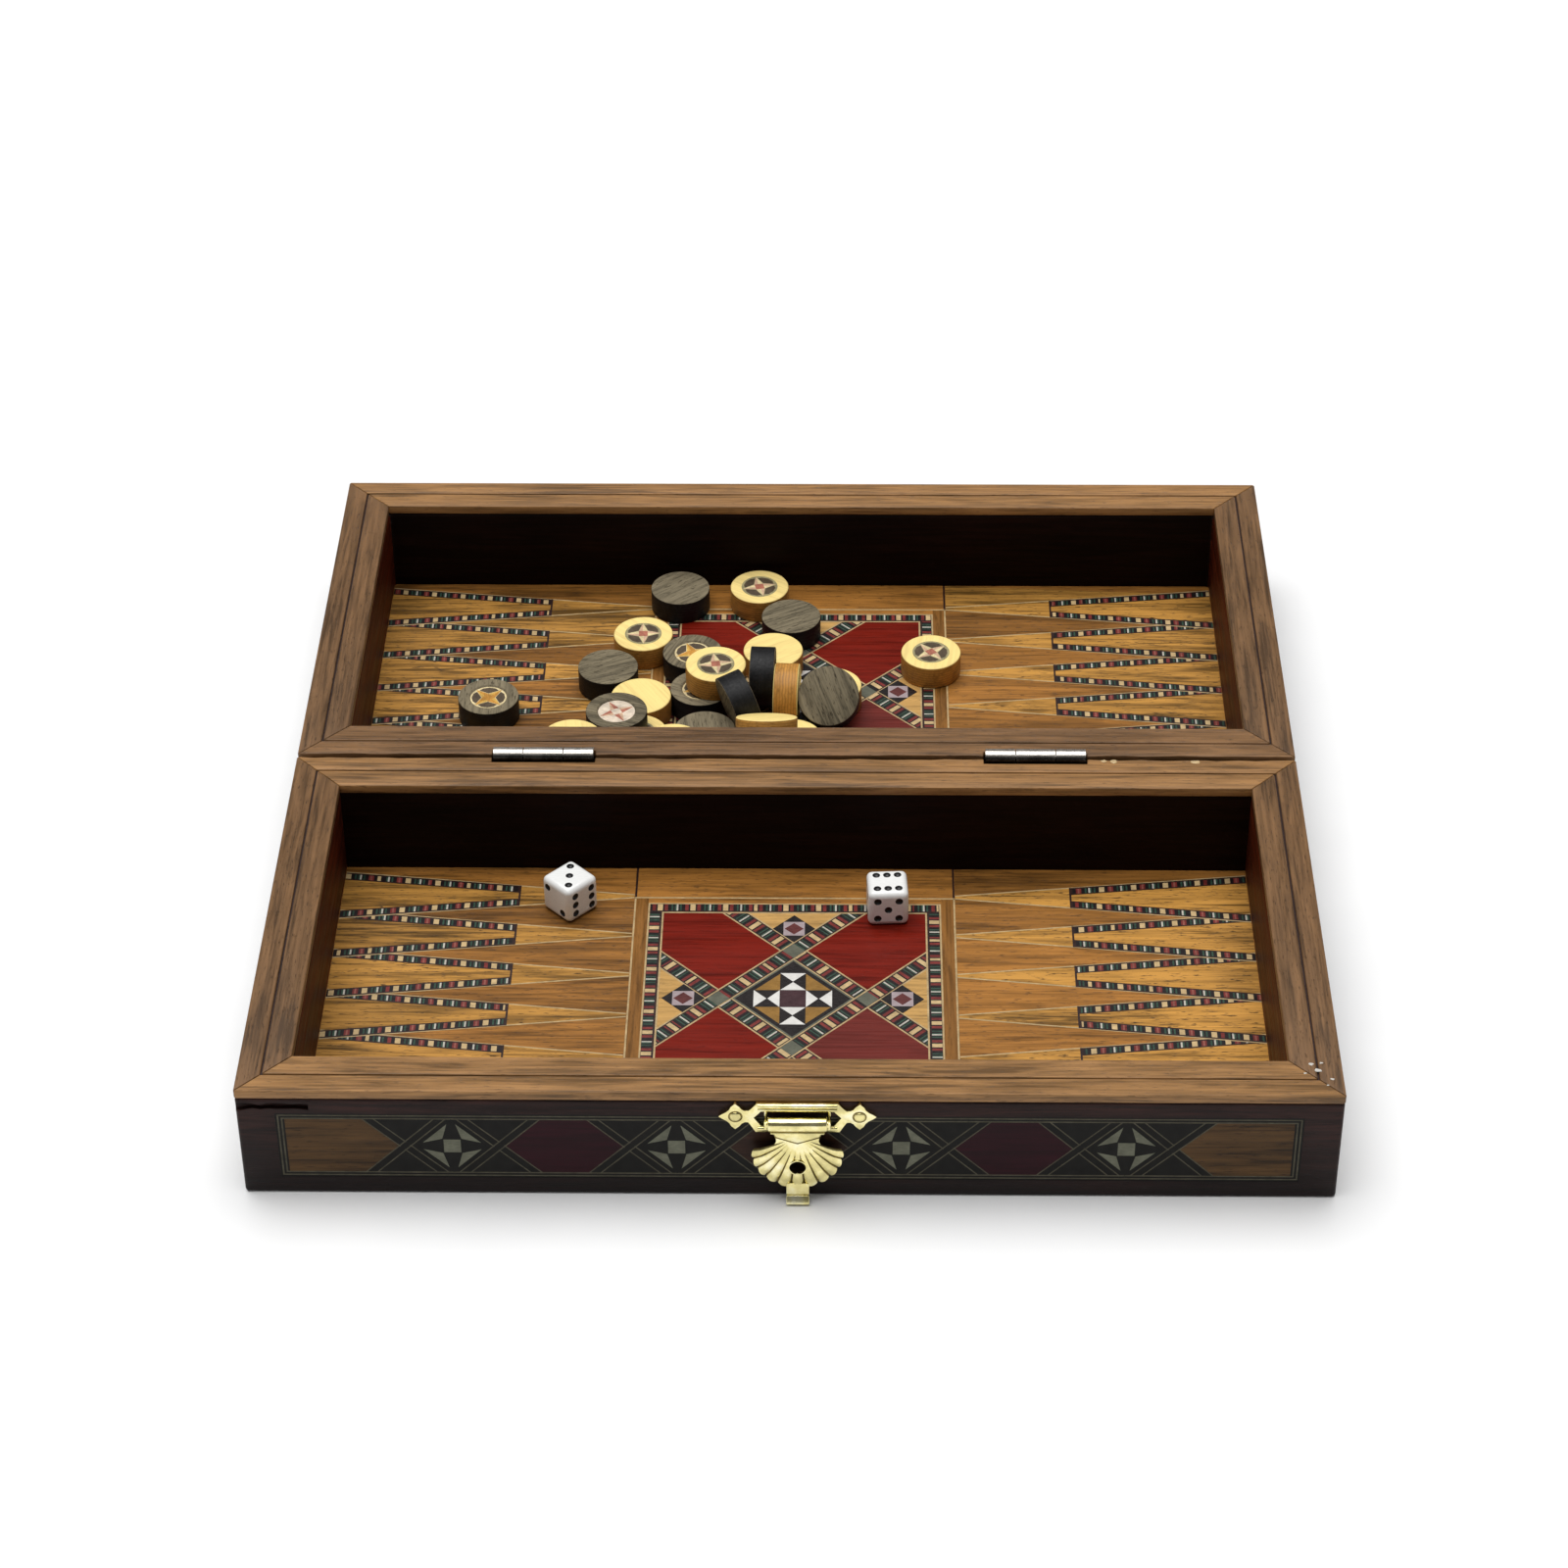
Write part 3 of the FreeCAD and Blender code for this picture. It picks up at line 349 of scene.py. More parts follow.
    wood("dark_side", (0.0085, 0.0082, 0.0088), "X", depth=0.5, lift=1.8, pores=0.3, coat=0.0, rough=(0.4, 0.6),
         bump=0.3, attribute="turned_place", ring=420.0)
    chip("die_body", (0.86, 0.86, 0.84), 0.02, rough=0.28, coat=0.4)
    chip("die_pip", (0.008, 0.008, 0.009), 0.3, rough=0.4)
    # partly painted highlight: the near-white worn tone, laid on heavily, also stands in for reflected light on the
    # brass
    metal("brass_sheet", colours.brass, 0.15, worn=(1.0, 0.97, 0.72), wear=0.9, tarnish=0.34, scratch=0.14)
    # painted shade: dark brass laid in creases, rib valleys and round the nail heads
    metal("brass_crease_shade", (0.26, 0.20, 0.07), 0.34, tarnish=0.4)
    metal("brass_nail", shade(colours.brass, 0.9), 0.24, tarnish=0.35)
    # painted light: the hinge steel is kept dark, partly as painted shade below, and above these heights in mm the
    # upper side of the barrels is painted bright as a highlight
    metal("hinge_steel", (0.030, 0.028, 0.026), 0.26, worn=(0.10, 0.095, 0.09), wear=0.4, tarnish=0.5,
          top_highlight=(25.95, 26.25, (0.46, 0.43, 0.39)))
    metal("screw_steel", (0.33, 0.32, 0.30), 0.3, tarnish=0.5)


# ------------------------------------------------------------------ modelling helpers

def clear_selection():
    bpy.ops.object.select_all(action="DESELECT")


def pick(*pieces):
    clear_selection()
    for piece in pieces:
        piece.select_set(True)
    bpy.context.view_layer.objects.active = pieces[0]
    return pieces[0]


def cut_veneer(outline, lift, finish):
    """One flat veneer: a many-cornered face whose corners are drawn to the outline, in mm."""
    bpy.ops.mesh.primitive_circle_add(vertices=len(outline), radius=MM, fill_type="NGON")
    piece = bpy.context.object
    for corner, (s, t) in zip(piece.data.vertices, outline):
        corner.co = (s * MM, t * MM, lift * MM)
    piece.data.update()
    if piece.data.polygons[0].normal.z < 0:
        piece.data.flip_normals()
    piece.data.materials.append(FINISHES[finish])
    return piece


def rectangle(left, low, right, high):
    return [(left, low), (right, low), (right, high), (left, high)]


def diamond(s, t, reach, reach_t=None):
    """Outline of a diamond with its corners straight beside, above and below its middle."""
    reach_t = reach if reach_t is None else reach_t
    return [(s + reach, t), (s, t + reach_t), (s - reach, t), (s, t - reach_t)]


def quarter_turned(outline, turns):
    """An outline turned about the middle by a number of quarter turns."""
    c, s = round(math.cos(turns * math.pi / 2)), round(math.sin(turns * math.pi / 2))
    return [(c * u - s * v, s * u + c * v) for u, v in outline]


def mirrored(half):
    """A half outline closed by its mirror image about the middle line."""
    return half + [(-s, t) for s, t in reversed(half) if s > 0]


def band(start, end, half, across=None):
    """Outline of a straight band from start to end; across is its end direction."""
    run = Vector(end) - Vector(start)
    side = Vector(across) if across else Vector((-run.y, run.x)).normalized()
    return [tuple(Vector(start) - side * half), tuple(Vector(end) - side * half),
            tuple(Vector(end) + side * half), tuple(Vector(start) + side * half)]


CHIP_KEYS = {"C": "cream_chip", "K": "black_chip", "G": "green_chip",
             "W": "white_chip", "R": "red_chip", "P": "rose_chip"}
# one letter to a slice; the letters that may now and then be left out make the rows uneven
SKIPPED_KEYS, SKIP_CHANCE = "CGPR", 0.06
POINT_CHIPS = "CCCKKGKGWKGKKRPRKK"
BORDER_CHIPS = "CCCKRRKKGKGWKGKKRRK"


def chip_row(start, end, half, lift, pattern, slice_width, rng, across=None):
    """A row of end-cut chips: one grid, one cell to a slice, coloured in runs."""
    run = Vector(end) - Vector(start)
    side = Vector(across) if across else Vector((-run.y, run.x)).normalized()
    count = max(2, round(run.length / slice_width))
    bpy.ops.mesh.primitive_grid_add(x_subdivisions=count, y_subdivisions=1, size=1.0)
    piece = bpy.context.object
    cursor = rng.randrange(len(pattern))
    keys = []
    while len(keys) < count:
        key = pattern[cursor % len(pattern)]
        if not (key in SKIPPED_KEYS and rng.random() < SKIP_CHANCE):
            keys.append(key)
        cursor += 1
    finishes = sorted(set(keys))
    for key in finishes:
        piece.data.materials.append(FINISHES[CHIP_KEYS[key]])
    for face in piece.data.polygons:
        cell = min(count - 1, max(0, int((face.center.x + 0.5) * count)))
        face.material_index = finishes.index(keys[cell])
    for corner in piece.data.vertices:
        spot = Vector(start) + run * (corner.co.x + 0.5) + side * (corner.co.y * 2.0 * half)
        corner.co = (spot.x * MM, spot.y * MM, lift * MM)
    piece.data.update()
    if piece.data.polygons[0].normal.z < 0:
        piece.data.flip_normals()
    return piece


def join(pieces, name):
    pick(*pieces)
    bpy.ops.object.join()
    piece = bpy.context.object
    piece.name = piece.data.name = name
    return piece


def modify(piece, kind, **settings):
    """Adds a modifier, sets it and applies it."""
    pick(piece)
    modifier = piece.modifiers.new(kind.title(), kind)
    for key, value in settings.items():
        setattr(modifier, key, value)
    bpy.ops.object.modifier_apply(modifier=modifier.name)
    return piece


def soften(piece, width, segments=2, angle=40.0):
    modify(piece, "BEVEL", width=width * MM, segments=segments, limit_method="ANGLE",
           angle_limit=math.radians(angle), use_clamp_overlap=True, harden_normals=False)
    bpy.ops.object.shade_smooth_by_angle(angle=math.radians(50.0))
    return piece


def settle(piece, matrix=None):
    """Puts the place into the mesh and leaves the object at the origin."""
    piece.data.transform((matrix or Matrix.Identity(4)) @ piece.matrix_world)
    piece.matrix_world = Matrix.Identity(4)
    return piece


def block(size, centre, finish, rounding=0.0, segments=2):
    """A board or bar: a cube primitive stretched to size, in mm, with softened edges."""
    bpy.ops.mesh.primitive_cube_add(size=1.0)
    piece = bpy.context.object
    for corner in piece.data.vertices:
        corner.co = [(corner.co[i] * size[i] + centre[i]) * MM for i in range(3)]
    piece.data.materials.append(FINISHES[finish])
    if rounding:
        soften(piece, rounding, segments)
    return piece


def slab(outline, low, high, finish, rounding=0.0, segments=2):
    """A flat board with any outline, in mm: a face extruded from low to high, then softened."""
    piece = cut_veneer(outline, low, finish)
    bpy.ops.object.mode_set(mode="EDIT")
    bpy.ops.mesh.select_all(action="SELECT")
    bpy.ops.mesh.extrude_region_move(TRANSFORM_OT_translate={"value": (0, 0, (high - low) * MM)})
    bpy.ops.mesh.select_all(action="SELECT")
    bpy.ops.mesh.normals_make_consistent(inside=False)
    bpy.ops.object.mode_set(mode="OBJECT")
    if rounding:
        soften(piece, rounding, segments)
    return piece


def rod(start, end, radius, finish, vertices=32, rounding=0.0):
    """A round bar between two points, in mm."""
    run = Vector(end) - Vector(start)
    bpy.ops.mesh.primitive_cylinder_add(vertices=vertices, radius=radius * MM, depth=run.length * MM)
    piece = bpy.context.object
    turn = run.to_track_quat("Z", "Y").to_matrix().to_4x4()
    settle(piece, Matrix.Translation((Vector(start) + run / 2) * MM) @ turn)
    piece.data.materials.append(FINISHES[finish])
    soften(piece, rounding or radius * 0.15, 2)
    return piece


def own(piece, name, body, slot, *nodes):
    """Names a finished piece, fastens it to its body and hides the CAD nodes it takes the place of; the slot argument
    is not used.
    """
    piece.name = piece.data.name = name
    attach(piece, body)
    if nodes:
        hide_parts(*nodes)
    clear_selection()
    return piece


def refinish(node, finish):
    """Gives a CAD node a new finish in every one of its slots."""
    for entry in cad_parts[node].material_slots:
        entry.material = FINISHES[finish]


def middle(node):
    low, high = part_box(node)
    return (low + high) / 2.0


def hinge_spans(room):
    """From where to where each hinge reaches along the seam, with room at both ends, in mm."""
    spans = []
    for hinge in ("left_hinge_front_leaf", "right_hinge_front_leaf"):
        low, high = (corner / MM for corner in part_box(hinge))
        spans.append((low.x - room, high.x + room))
    return spans


# ------------------------------------------------------------------ marquetry
# Veneers lie a few hundredths of a millimetre above one another, so that each covers the one below.

PLAYFIELD_HALF = (90.5, 40.5)
PANEL_FRAME_HALF, PANEL_FRAME_LOW, PANEL_FRAME_HIGH = 31.9, -30.6, 31.1
PANEL_HALF, PANEL_FIELD_HALF = 29.1, 26.3


def point_wedge(side, middle_t, number, sizes, rng):
    """One long point: its wedge of golden wood, pale edge lines and two rows of chips.
    The lower row and its line lie over the start of the next point's upper row."""
    tip, half = sizes.point_tip, sizes.strip_half
    wall, reach = 90.4, PANEL_FRAME_HALF + 0.1
    wide, narrow = 7.3, 0.45
    row_at_wall, row_at_tip, blunt = 6.05, 2.05, 3.2
    line_half, dark_edge = 0.16, 0.36
    ground = 0.008 + 0.002 * (number % 2)
    pieces = [cut_veneer([(side * wall, middle_t + wide), (side * wall, middle_t - wide),
                          (side * reach, middle_t - narrow), (side * reach, middle_t + narrow)],
                         ground, "golden_board_%d" % rng.randrange(3))]
    for up, level in ((1, 0.016), (-1, 0.030)):
        line_start, line_end = (side * wall, middle_t + up * wide), (side * reach, middle_t + up * narrow)
        start = (side * wall, middle_t + up * row_at_wall)
        end = (side * tip, middle_t + up * row_at_tip)
        if up < 0:
            pieces.append(cut_veneer([start, line_start, (side * tip, middle_t - blunt), end], level - 0.004,
                                     "golden_board_0"))
        pieces.append(cut_veneer(band(line_start, line_end, line_half), level, "cream_line"))
        pieces.append(cut_veneer(band(start, end, half, (0, 1)), level + 0.003, "black_line"))
        pieces.append(chip_row(start, (end[0] + side * 0.45, end[1]), half - dark_edge, level + 0.006, POINT_CHIPS,
                               sizes.slice_width, rng, (0, 1)))
    pieces.append(cut_veneer(band((side * tip, middle_t - blunt), (side * tip, middle_t + blunt), 0.2), 0.038,
                             "black_line"))
    return pieces


def star_panel(centre_t, sizes, rng):
    """The square centre panel: chip border, diagonal lattice, red fields and diamonds."""
    pieces = []

    def add(outline, lift, finish):
        pieces.append(cut_veneer([(s, t + centre_t) for s, t in outline], lift, finish))

    def chips(start, end, half, lift):
        pieces.append(chip_row((start[0], start[1] + centre_t), (end[0], end[1] + centre_t), half, lift,
                               BORDER_CHIPS, sizes.slice_width * 0.95, rng))

    outer, inner, line = PANEL_HALF, PANEL_FIELD_HALF, 0.35
    add(rectangle(-outer, -outer, outer, outer), 0.016, "cream_line")
    add(rectangle(-outer + line, -outer + line, outer - line, outer - line), 0.019, "black_line")
    add(rectangle(-inner, -inner, inner, inner), 0.024, "cream_line")
    field = inner - line
    add(rectangle(-field, -field, field, field), 0.026, "triangle_wood")
    for x in (-1, 1):
        for y in (-1, 1):
            corner = [(field, field), (field - 13.0, field), (2.3, 14.2), (14.2, 2.3), (field, field - 13.0)]
            add([(x * s, y * t) for s, t in corner], 0.029, "purple_field" if (x, y) == (1, -1) else "red_field")
    # the lattice: two strips each way, whose middle lines cross the panel's axes at this distance
    cross, overrun = 14.4, 1.4
    for slope in (1, -1):
        for offset in (-cross, cross):
            # the line t = slope * s + offset, kept inside the field
            ends = []
            for s in (-field, field):
                t = slope * s + offset
                if abs(t) <= field:
                    ends.append((s, t))
            for t in (-field, field):
                s = (t - offset) / slope
                if abs(s) < field:
                    ends.append((s, t))
            level = 0.032 + (0.006 if slope > 0 else 0.0)
            # the strips run on under the border, which covers their square ends
            (low_s, low_t), (high_s, high_t) = sorted(ends)
            start = (low_s - overrun, low_t - slope * overrun)
            end = (high_s + overrun, high_t + slope * overrun)
            add(band(start, end, 1.95), level, "cream_line")
            add(band(start, end, 1.62), level + 0.002, "black_line")
            chips(start, end, 1.34, level + 0.004)
    # sage diamonds on the crossings, and an eye in each of the four side triangles
    eye = 21.2
    for s, t in ((0, cross), (0, -cross), (cross, 0), (-cross, 0)):
        add(diamond(s, t, 2.2), 0.045, "sage_chip")
        far_s, far_t = s * eye / cross, t * eye / cross
        add(diamond(far_s, far_t, 4.2), 0.046, "black_chip")
        add(rectangle(far_s - 2.1, far_t - 2.1, far_s + 2.1, far_t + 2.1), 0.048, "lilac_chip")
        add(diamond(far_s, far_t, 1.9, 1.75), 0.050, "garnet_chip")
    # heart of the panel
    heart, core, corner_reach = 11.7, 2.5, 7.4
    add(diamond(0, 0, heart), 0.046, "sage_chip")
    add(diamond(0, 0, heart - 0.5), 0.047, "black_chip")
    add(rectangle(-core, -core, core, core), 0.050, "plum_chip")
    for x in (-1, 1):
        for y in (-1, 1):
            add([(x * core, y * core), (x * corner_reach, y * core), (x * core, y * corner_reach)], 0.050, "ochre_chip")
    for turns in range(4):
        for triangle in ([(2.55, -core), (2.55, core), (4.9, 0.0)], [(7.6, -core), (7.6, core), (5.1, 0.0)]):
            add(quarter_turned(triangle, turns), 0.050, "bone_chip")
    # the border of chips with its pale inner line
    row = (outer + inner) / 2
    for turns in range(4):
        step = 0.0004 * turns
        ground = rectangle(-outer + line, inner, outer - line, outer - line)
        inner_line = rectangle(-inner, field, inner, inner)
        add(quarter_turned(ground, turns), 0.051 + step, "black_line")
        add(quarter_turned(inner_line, turns), 0.0518 + step, "cream_line")
        reach = outer - 0.5 if turns % 2 == 0 else inner
        start, end = quarter_turned([(-reach, row), (reach, row)], turns)
        chips(start, end, 0.98, 0.0545)
    return pieces


def build_playfield(sizes, rng):
    """Whole playfield face around its own middle, surface near height 0."""
    half_s, half_t = PLAYFIELD_HALF
    pieces = [cut_veneer(rectangle(-half_s, -half_t, half_s, half_t), 0.0, "brown_board_0")]
    gap_boards = ("golden_board_1", "brown_board_0", "brown_board_1", "brown_board_2")
    gap_half, gap_tip, gap_foot = 5.6, 84.0, 32.0
    for side in (-1, 1):
        for k in range(7):
            gap = sizes.first_point + sizes.point_pitch * (0.5 - k)
            low, high = max(gap - gap_half, -half_t), min(gap + gap_half, half_t)
            if high - low > 1.0:
                tip_t = min(max(gap, -half_t), half_t)
                pieces.append(cut_veneer([(side * gap_tip, tip_t), (side * gap_foot, low), (side * gap_foot, high)],
                                         0.003, rng.choice(gap_boards)))
        for k in range(6):
            pieces += point_wedge(side, sizes.first_point - sizes.point_pitch * k, k, sizes, rng)
    # cross-pieces and frame of the centre panel
    centre_t, panel_lift = 0.3, 0.018
    frame_half, frame_low, frame_high = PANEL_FRAME_HALF, PANEL_FRAME_LOW, PANEL_FRAME_HIGH
    pieces.append(cut_veneer(rectangle(-frame_half, -half_t, frame_half, half_t), 0.024, "brown_board_2"))
    for low, high in ((-half_t, frame_low), (frame_high, half_t)):
        for side in (-1, 1):
            pieces.append(cut_veneer(band((side * 31.7, low), (side * 31.7, high), 0.2), 0.028, "black_line"))
    for side in (-1, 1):
        left, right = sorted((side * PANEL_HALF, side * frame_half))
        pieces.append(cut_veneer(rectangle(left, frame_low, right, frame_high), 0.028, "frame_board"))
        pieces.append(cut_veneer(band((side * 31.75, frame_low), (side * 31.75, frame_high), 0.17), 0.031,
                                 "cream_line"))
    for t in (frame_low, frame_high):
        pieces.append(cut_veneer(band((-frame_half, t), (frame_half, t), 0.2), 0.031, "cream_line"))
    for piece in star_panel(centre_t, sizes, rng):
        for corner in piece.data.vertices:
            corner.co.z += panel_lift * MM
        pieces.append(piece)
    return pieces


WALL_PANEL_HIGH = 15.5
# along the walls, from the middle of a panel: the stars, and the hexagons between them with their veneers
LONG_STARS, SIDE_STARS = (-61.2, -20.4, 20.4, 61.2), (-20.4, 20.4)
LONG_HEXAGONS = ((-40.8, "maroon_field"), (0.0, "umber_field"), (40.8, "maroon_field"))
SIDE_HEXAGONS = ((0.0, "maroon_field"),)


def wall_panel(half_length, stars, hexagons):
    """Long inlay of a wall face: double border, crossing lines, stars and hexagons."""
    half = WALL_PANEL_HIGH / 2
    pieces = [cut_veneer(rectangle(-half_length, -half, half_length, half), 0.0, "wall_black")]

    def add(outline, lift, finish):
        pieces.append(cut_veneer(outline, lift, finish))

    for inset, finish in ((0.35, "wall_line"), (0.65, "wall_black"), (1.05, "wall_line"), (1.35, "wall_black")):
        add(rectangle(-half_length + inset, -half + inset, half_length - inset, half - inset),
            0.004 + inset * 0.004, finish)
    top = half - 1.35
    crossings = []
    for star in stars:
        crossings += [star - 8.55, star + 8.55]
    reach = 11.0
    for place, finish in hexagons:
        add([(place - reach, 0), (place - reach + top, top), (place + reach - top, top), (place + reach, 0),
             (place + reach - top, -top), (place - reach + top, -top)], 0.012, finish)
    edge, far = max(stars) + 9.5, half_length - 1.7
    for side in (-1, 1):
        add([(side * edge, 0), (side * (edge + top), top), (side * far, top), (side * far, -top),
             (side * (edge + top), -top)], 0.012, "end_field")
    for crossing in crossings:
        for slope in (-1, 1):
            level = 0.016 + (0.004 if slope > 0 else 0.0)
            for shift in (-1.05, 0.0, 1.05):
                finish, width = ("wall_black", 0.75) if shift == 0.0 else ("wall_line", 0.17)
                start, end = (crossing + shift - slope * top, -top), (crossing + shift + slope * top, top)
                add(band(start, end, width, (1, 0)), level + (0.002 if shift else 0.0), finish)
    for star in stars:
        add(diamond(star, 0, 6.5), 0.026, "wall_black")
        for x in (-1, 1):
            for y in (-1, 1):
                add([(star + x * 1.75, y * 1.75), (star + x * 0.8, y * 5.3), (star + x * 5.3, y * 0.8)],
                    0.028, "wall_sage")
        add(rectangle(star - 1.55, -1.55, star + 1.55, 1.55), 0.029, "wall_sage")
    return pieces


def lay(pieces, name, sizes):
    """Joins veneers and gives them their thickness, downwards."""
    piece = join(pieces, name)
    return modify(piece, "SOLIDIFY", thickness=sizes.veneer * MM, offset=-1.0, use_even_offset=False,
                  use_rim=True)


# ------------------------------------------------------------------ operators

# the panels let into the walls, in mm; the side ones are measured from the seam to their middle
LONG_PANEL, SIDE_PANEL, SIDE_PANEL_MIDDLE, PANEL_DEPTH = 186.0, 90.0, 50.5, 0.8


class MakingOperator:
    bl_options = {"REGISTER", "UNDO"}

    def execute(self, context):
        clear_selection()
        self.make(context.scene.backgammon_sizes, random.Random(RNG_SEED))
        clear_selection()
        return {"FINISHED"}


class BACKGAMMON_OT_finishes(MakingOperator, bpy.types.Operator):
    """Mix the woods, chips and metals"""
    bl_idname = "backgammon.finishes"
    bl_label = "Finishes"

    def make(self, sizes, rng):
        mix_finishes(bpy.context.scene.backgammon_colours)


class BACKGAMMON_OT_walls(MakingOperator, bpy.types.Operator):
    """Shape the three outer walls of each tray and give the hinge walls a near-black wood of painted shade"""
    bl_idname = "backgammon.walls"
    bl_label = "Tray walls"

    def make(self, sizes, rng):
        # painted shade: the hinge walls get the near-black copy of the wall wood
        for node in ("front_hinge_wall", "rear_hinge_wall"):
            refinish(node, "wall_painted_shade")
        for tray, long_wall in (("front", "front_latch_wall"), ("rear", "rear_keeper_wall")):
            self.three_walls(tray, long_wall, rng)

    def three_walls(self, tray, long_wall, rng):
        left_low, left_high = (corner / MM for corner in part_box(tray + "_left_wall"))
        right_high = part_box(tray + "_right_wall")[1] / MM
        sign = -1 if tray == "front" else 1
        thick = left_high.x - left_low.x
        far = left_low.y if sign < 0 else left_high.y
        seam = left_high.y if sign < 0 else left_low.y
        left, right = left_low.x, right_high.x
        outline = [(left, seam), (left, far), (right, far), (right, seam),
                   (right - thick, seam + sign * thick), (right - thick, far - sign * thick),
                   (left + thick, far - sign * thick), (left + thick, seam + sign * thick)]
        walls = slab(outline, left_low.z, left_high.z, "stained_wall")
        soften(walls, 0.7, 4, 60.0)
        # the end-grain wood, a near-black copy of painted shade and a brighter, redder copy of painted light for the
        # inner faces
        for finish in ("stained_wall_end", "wall_painted_shade", "wall_inner_painted_light"):
            walls.data.materials.append(FINISHES[finish])
        panel_low, panel_high = (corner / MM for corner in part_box(tray + "_side_inlays"))
        low, high = panel_low.z, panel_high.z
        deep, height = 2 * PANEL_DEPTH, (low + high) / 2
        cutters = [self.pocket((0, far, height), (LONG_PANEL, deep, high - low))]
        for x in (left, right):
            cutters.append(self.pocket((x, sign * SIDE_PANEL_MIDDLE, height), (deep, SIDE_PANEL, high - low)))
        if sign < 0:
            cutters.append(self.split(left, far, rng))
        for cutter in cutters:
            modify(walls, "BOOLEAN", operation="DIFFERENCE", solver="EXACT", object=cutter)
            bpy.data.objects.remove(cutter)
        plain, end, shaded_inner_slot, lit_side_slot = range(4)
        for face in walls.data.polygons:
            if face.material_index == plain:
                within = left + thick - 0.4 < face.center.x / MM < right - thick + 0.4
                # outer ends keep the end-grain wood; painted light: the inner side faces get the brighter, redder copy
                if abs(face.normal.x) > 0.8:
                    face.material_index = lit_side_slot if within else end
                # painted shade: the inner face of the long wall and the ends towards the seam get the near-black copy
                elif abs(face.normal.y) > 0.8 and abs(face.center.y / MM - far) > thick - 0.4:
                    face.material_index = shaded_inner_slot
        pick(walls)
        bpy.ops.object.shade_smooth_by_angle(angle=math.radians(35.0))
        own(walls, tray + "_walls", tray + "_tray", "dark_wall_wood",
            tray + "_left_wall", tray + "_right_wall", long_wall)

    def pocket(self, centre, size):
        return block(size, centre, "wall_black")

    def split(self, left, far, rng):
        """A torn splinter hole near the top of the front left corner."""
        long, height = 13.2, 21.15
        piece = block((14.5, 1.7, 1.6), (left + 6.0, far, height), "torn_wood")
        pick(piece)
        bpy.ops.object.mode_set(mode="EDIT")
        bpy.ops.mesh.select_all(action="SELECT")
        bpy.ops.mesh.subdivide(number_cuts=9)
        bpy.ops.object.mode_set(mode="OBJECT")
        # every upright column of corners is stretched and shifted as one, so the sides never cross
        columns = {}
        for corner in piece.data.vertices:
            key = round(corner.co.x / MM, 3)
            if key not in columns:
                columns[key] = (rng.uniform(-0.3, 0.3), rng.uniform(0.6, 1.45))
            drift, stretch = columns[key]
            share = (corner.co.x / MM - left) / long
            narrow = 1.0 - 0.35 * max(0.0, share)
            corner.co.z = (height + drift * narrow + (corner.co.z / MM - height) * narrow * stretch) * MM
        return piece


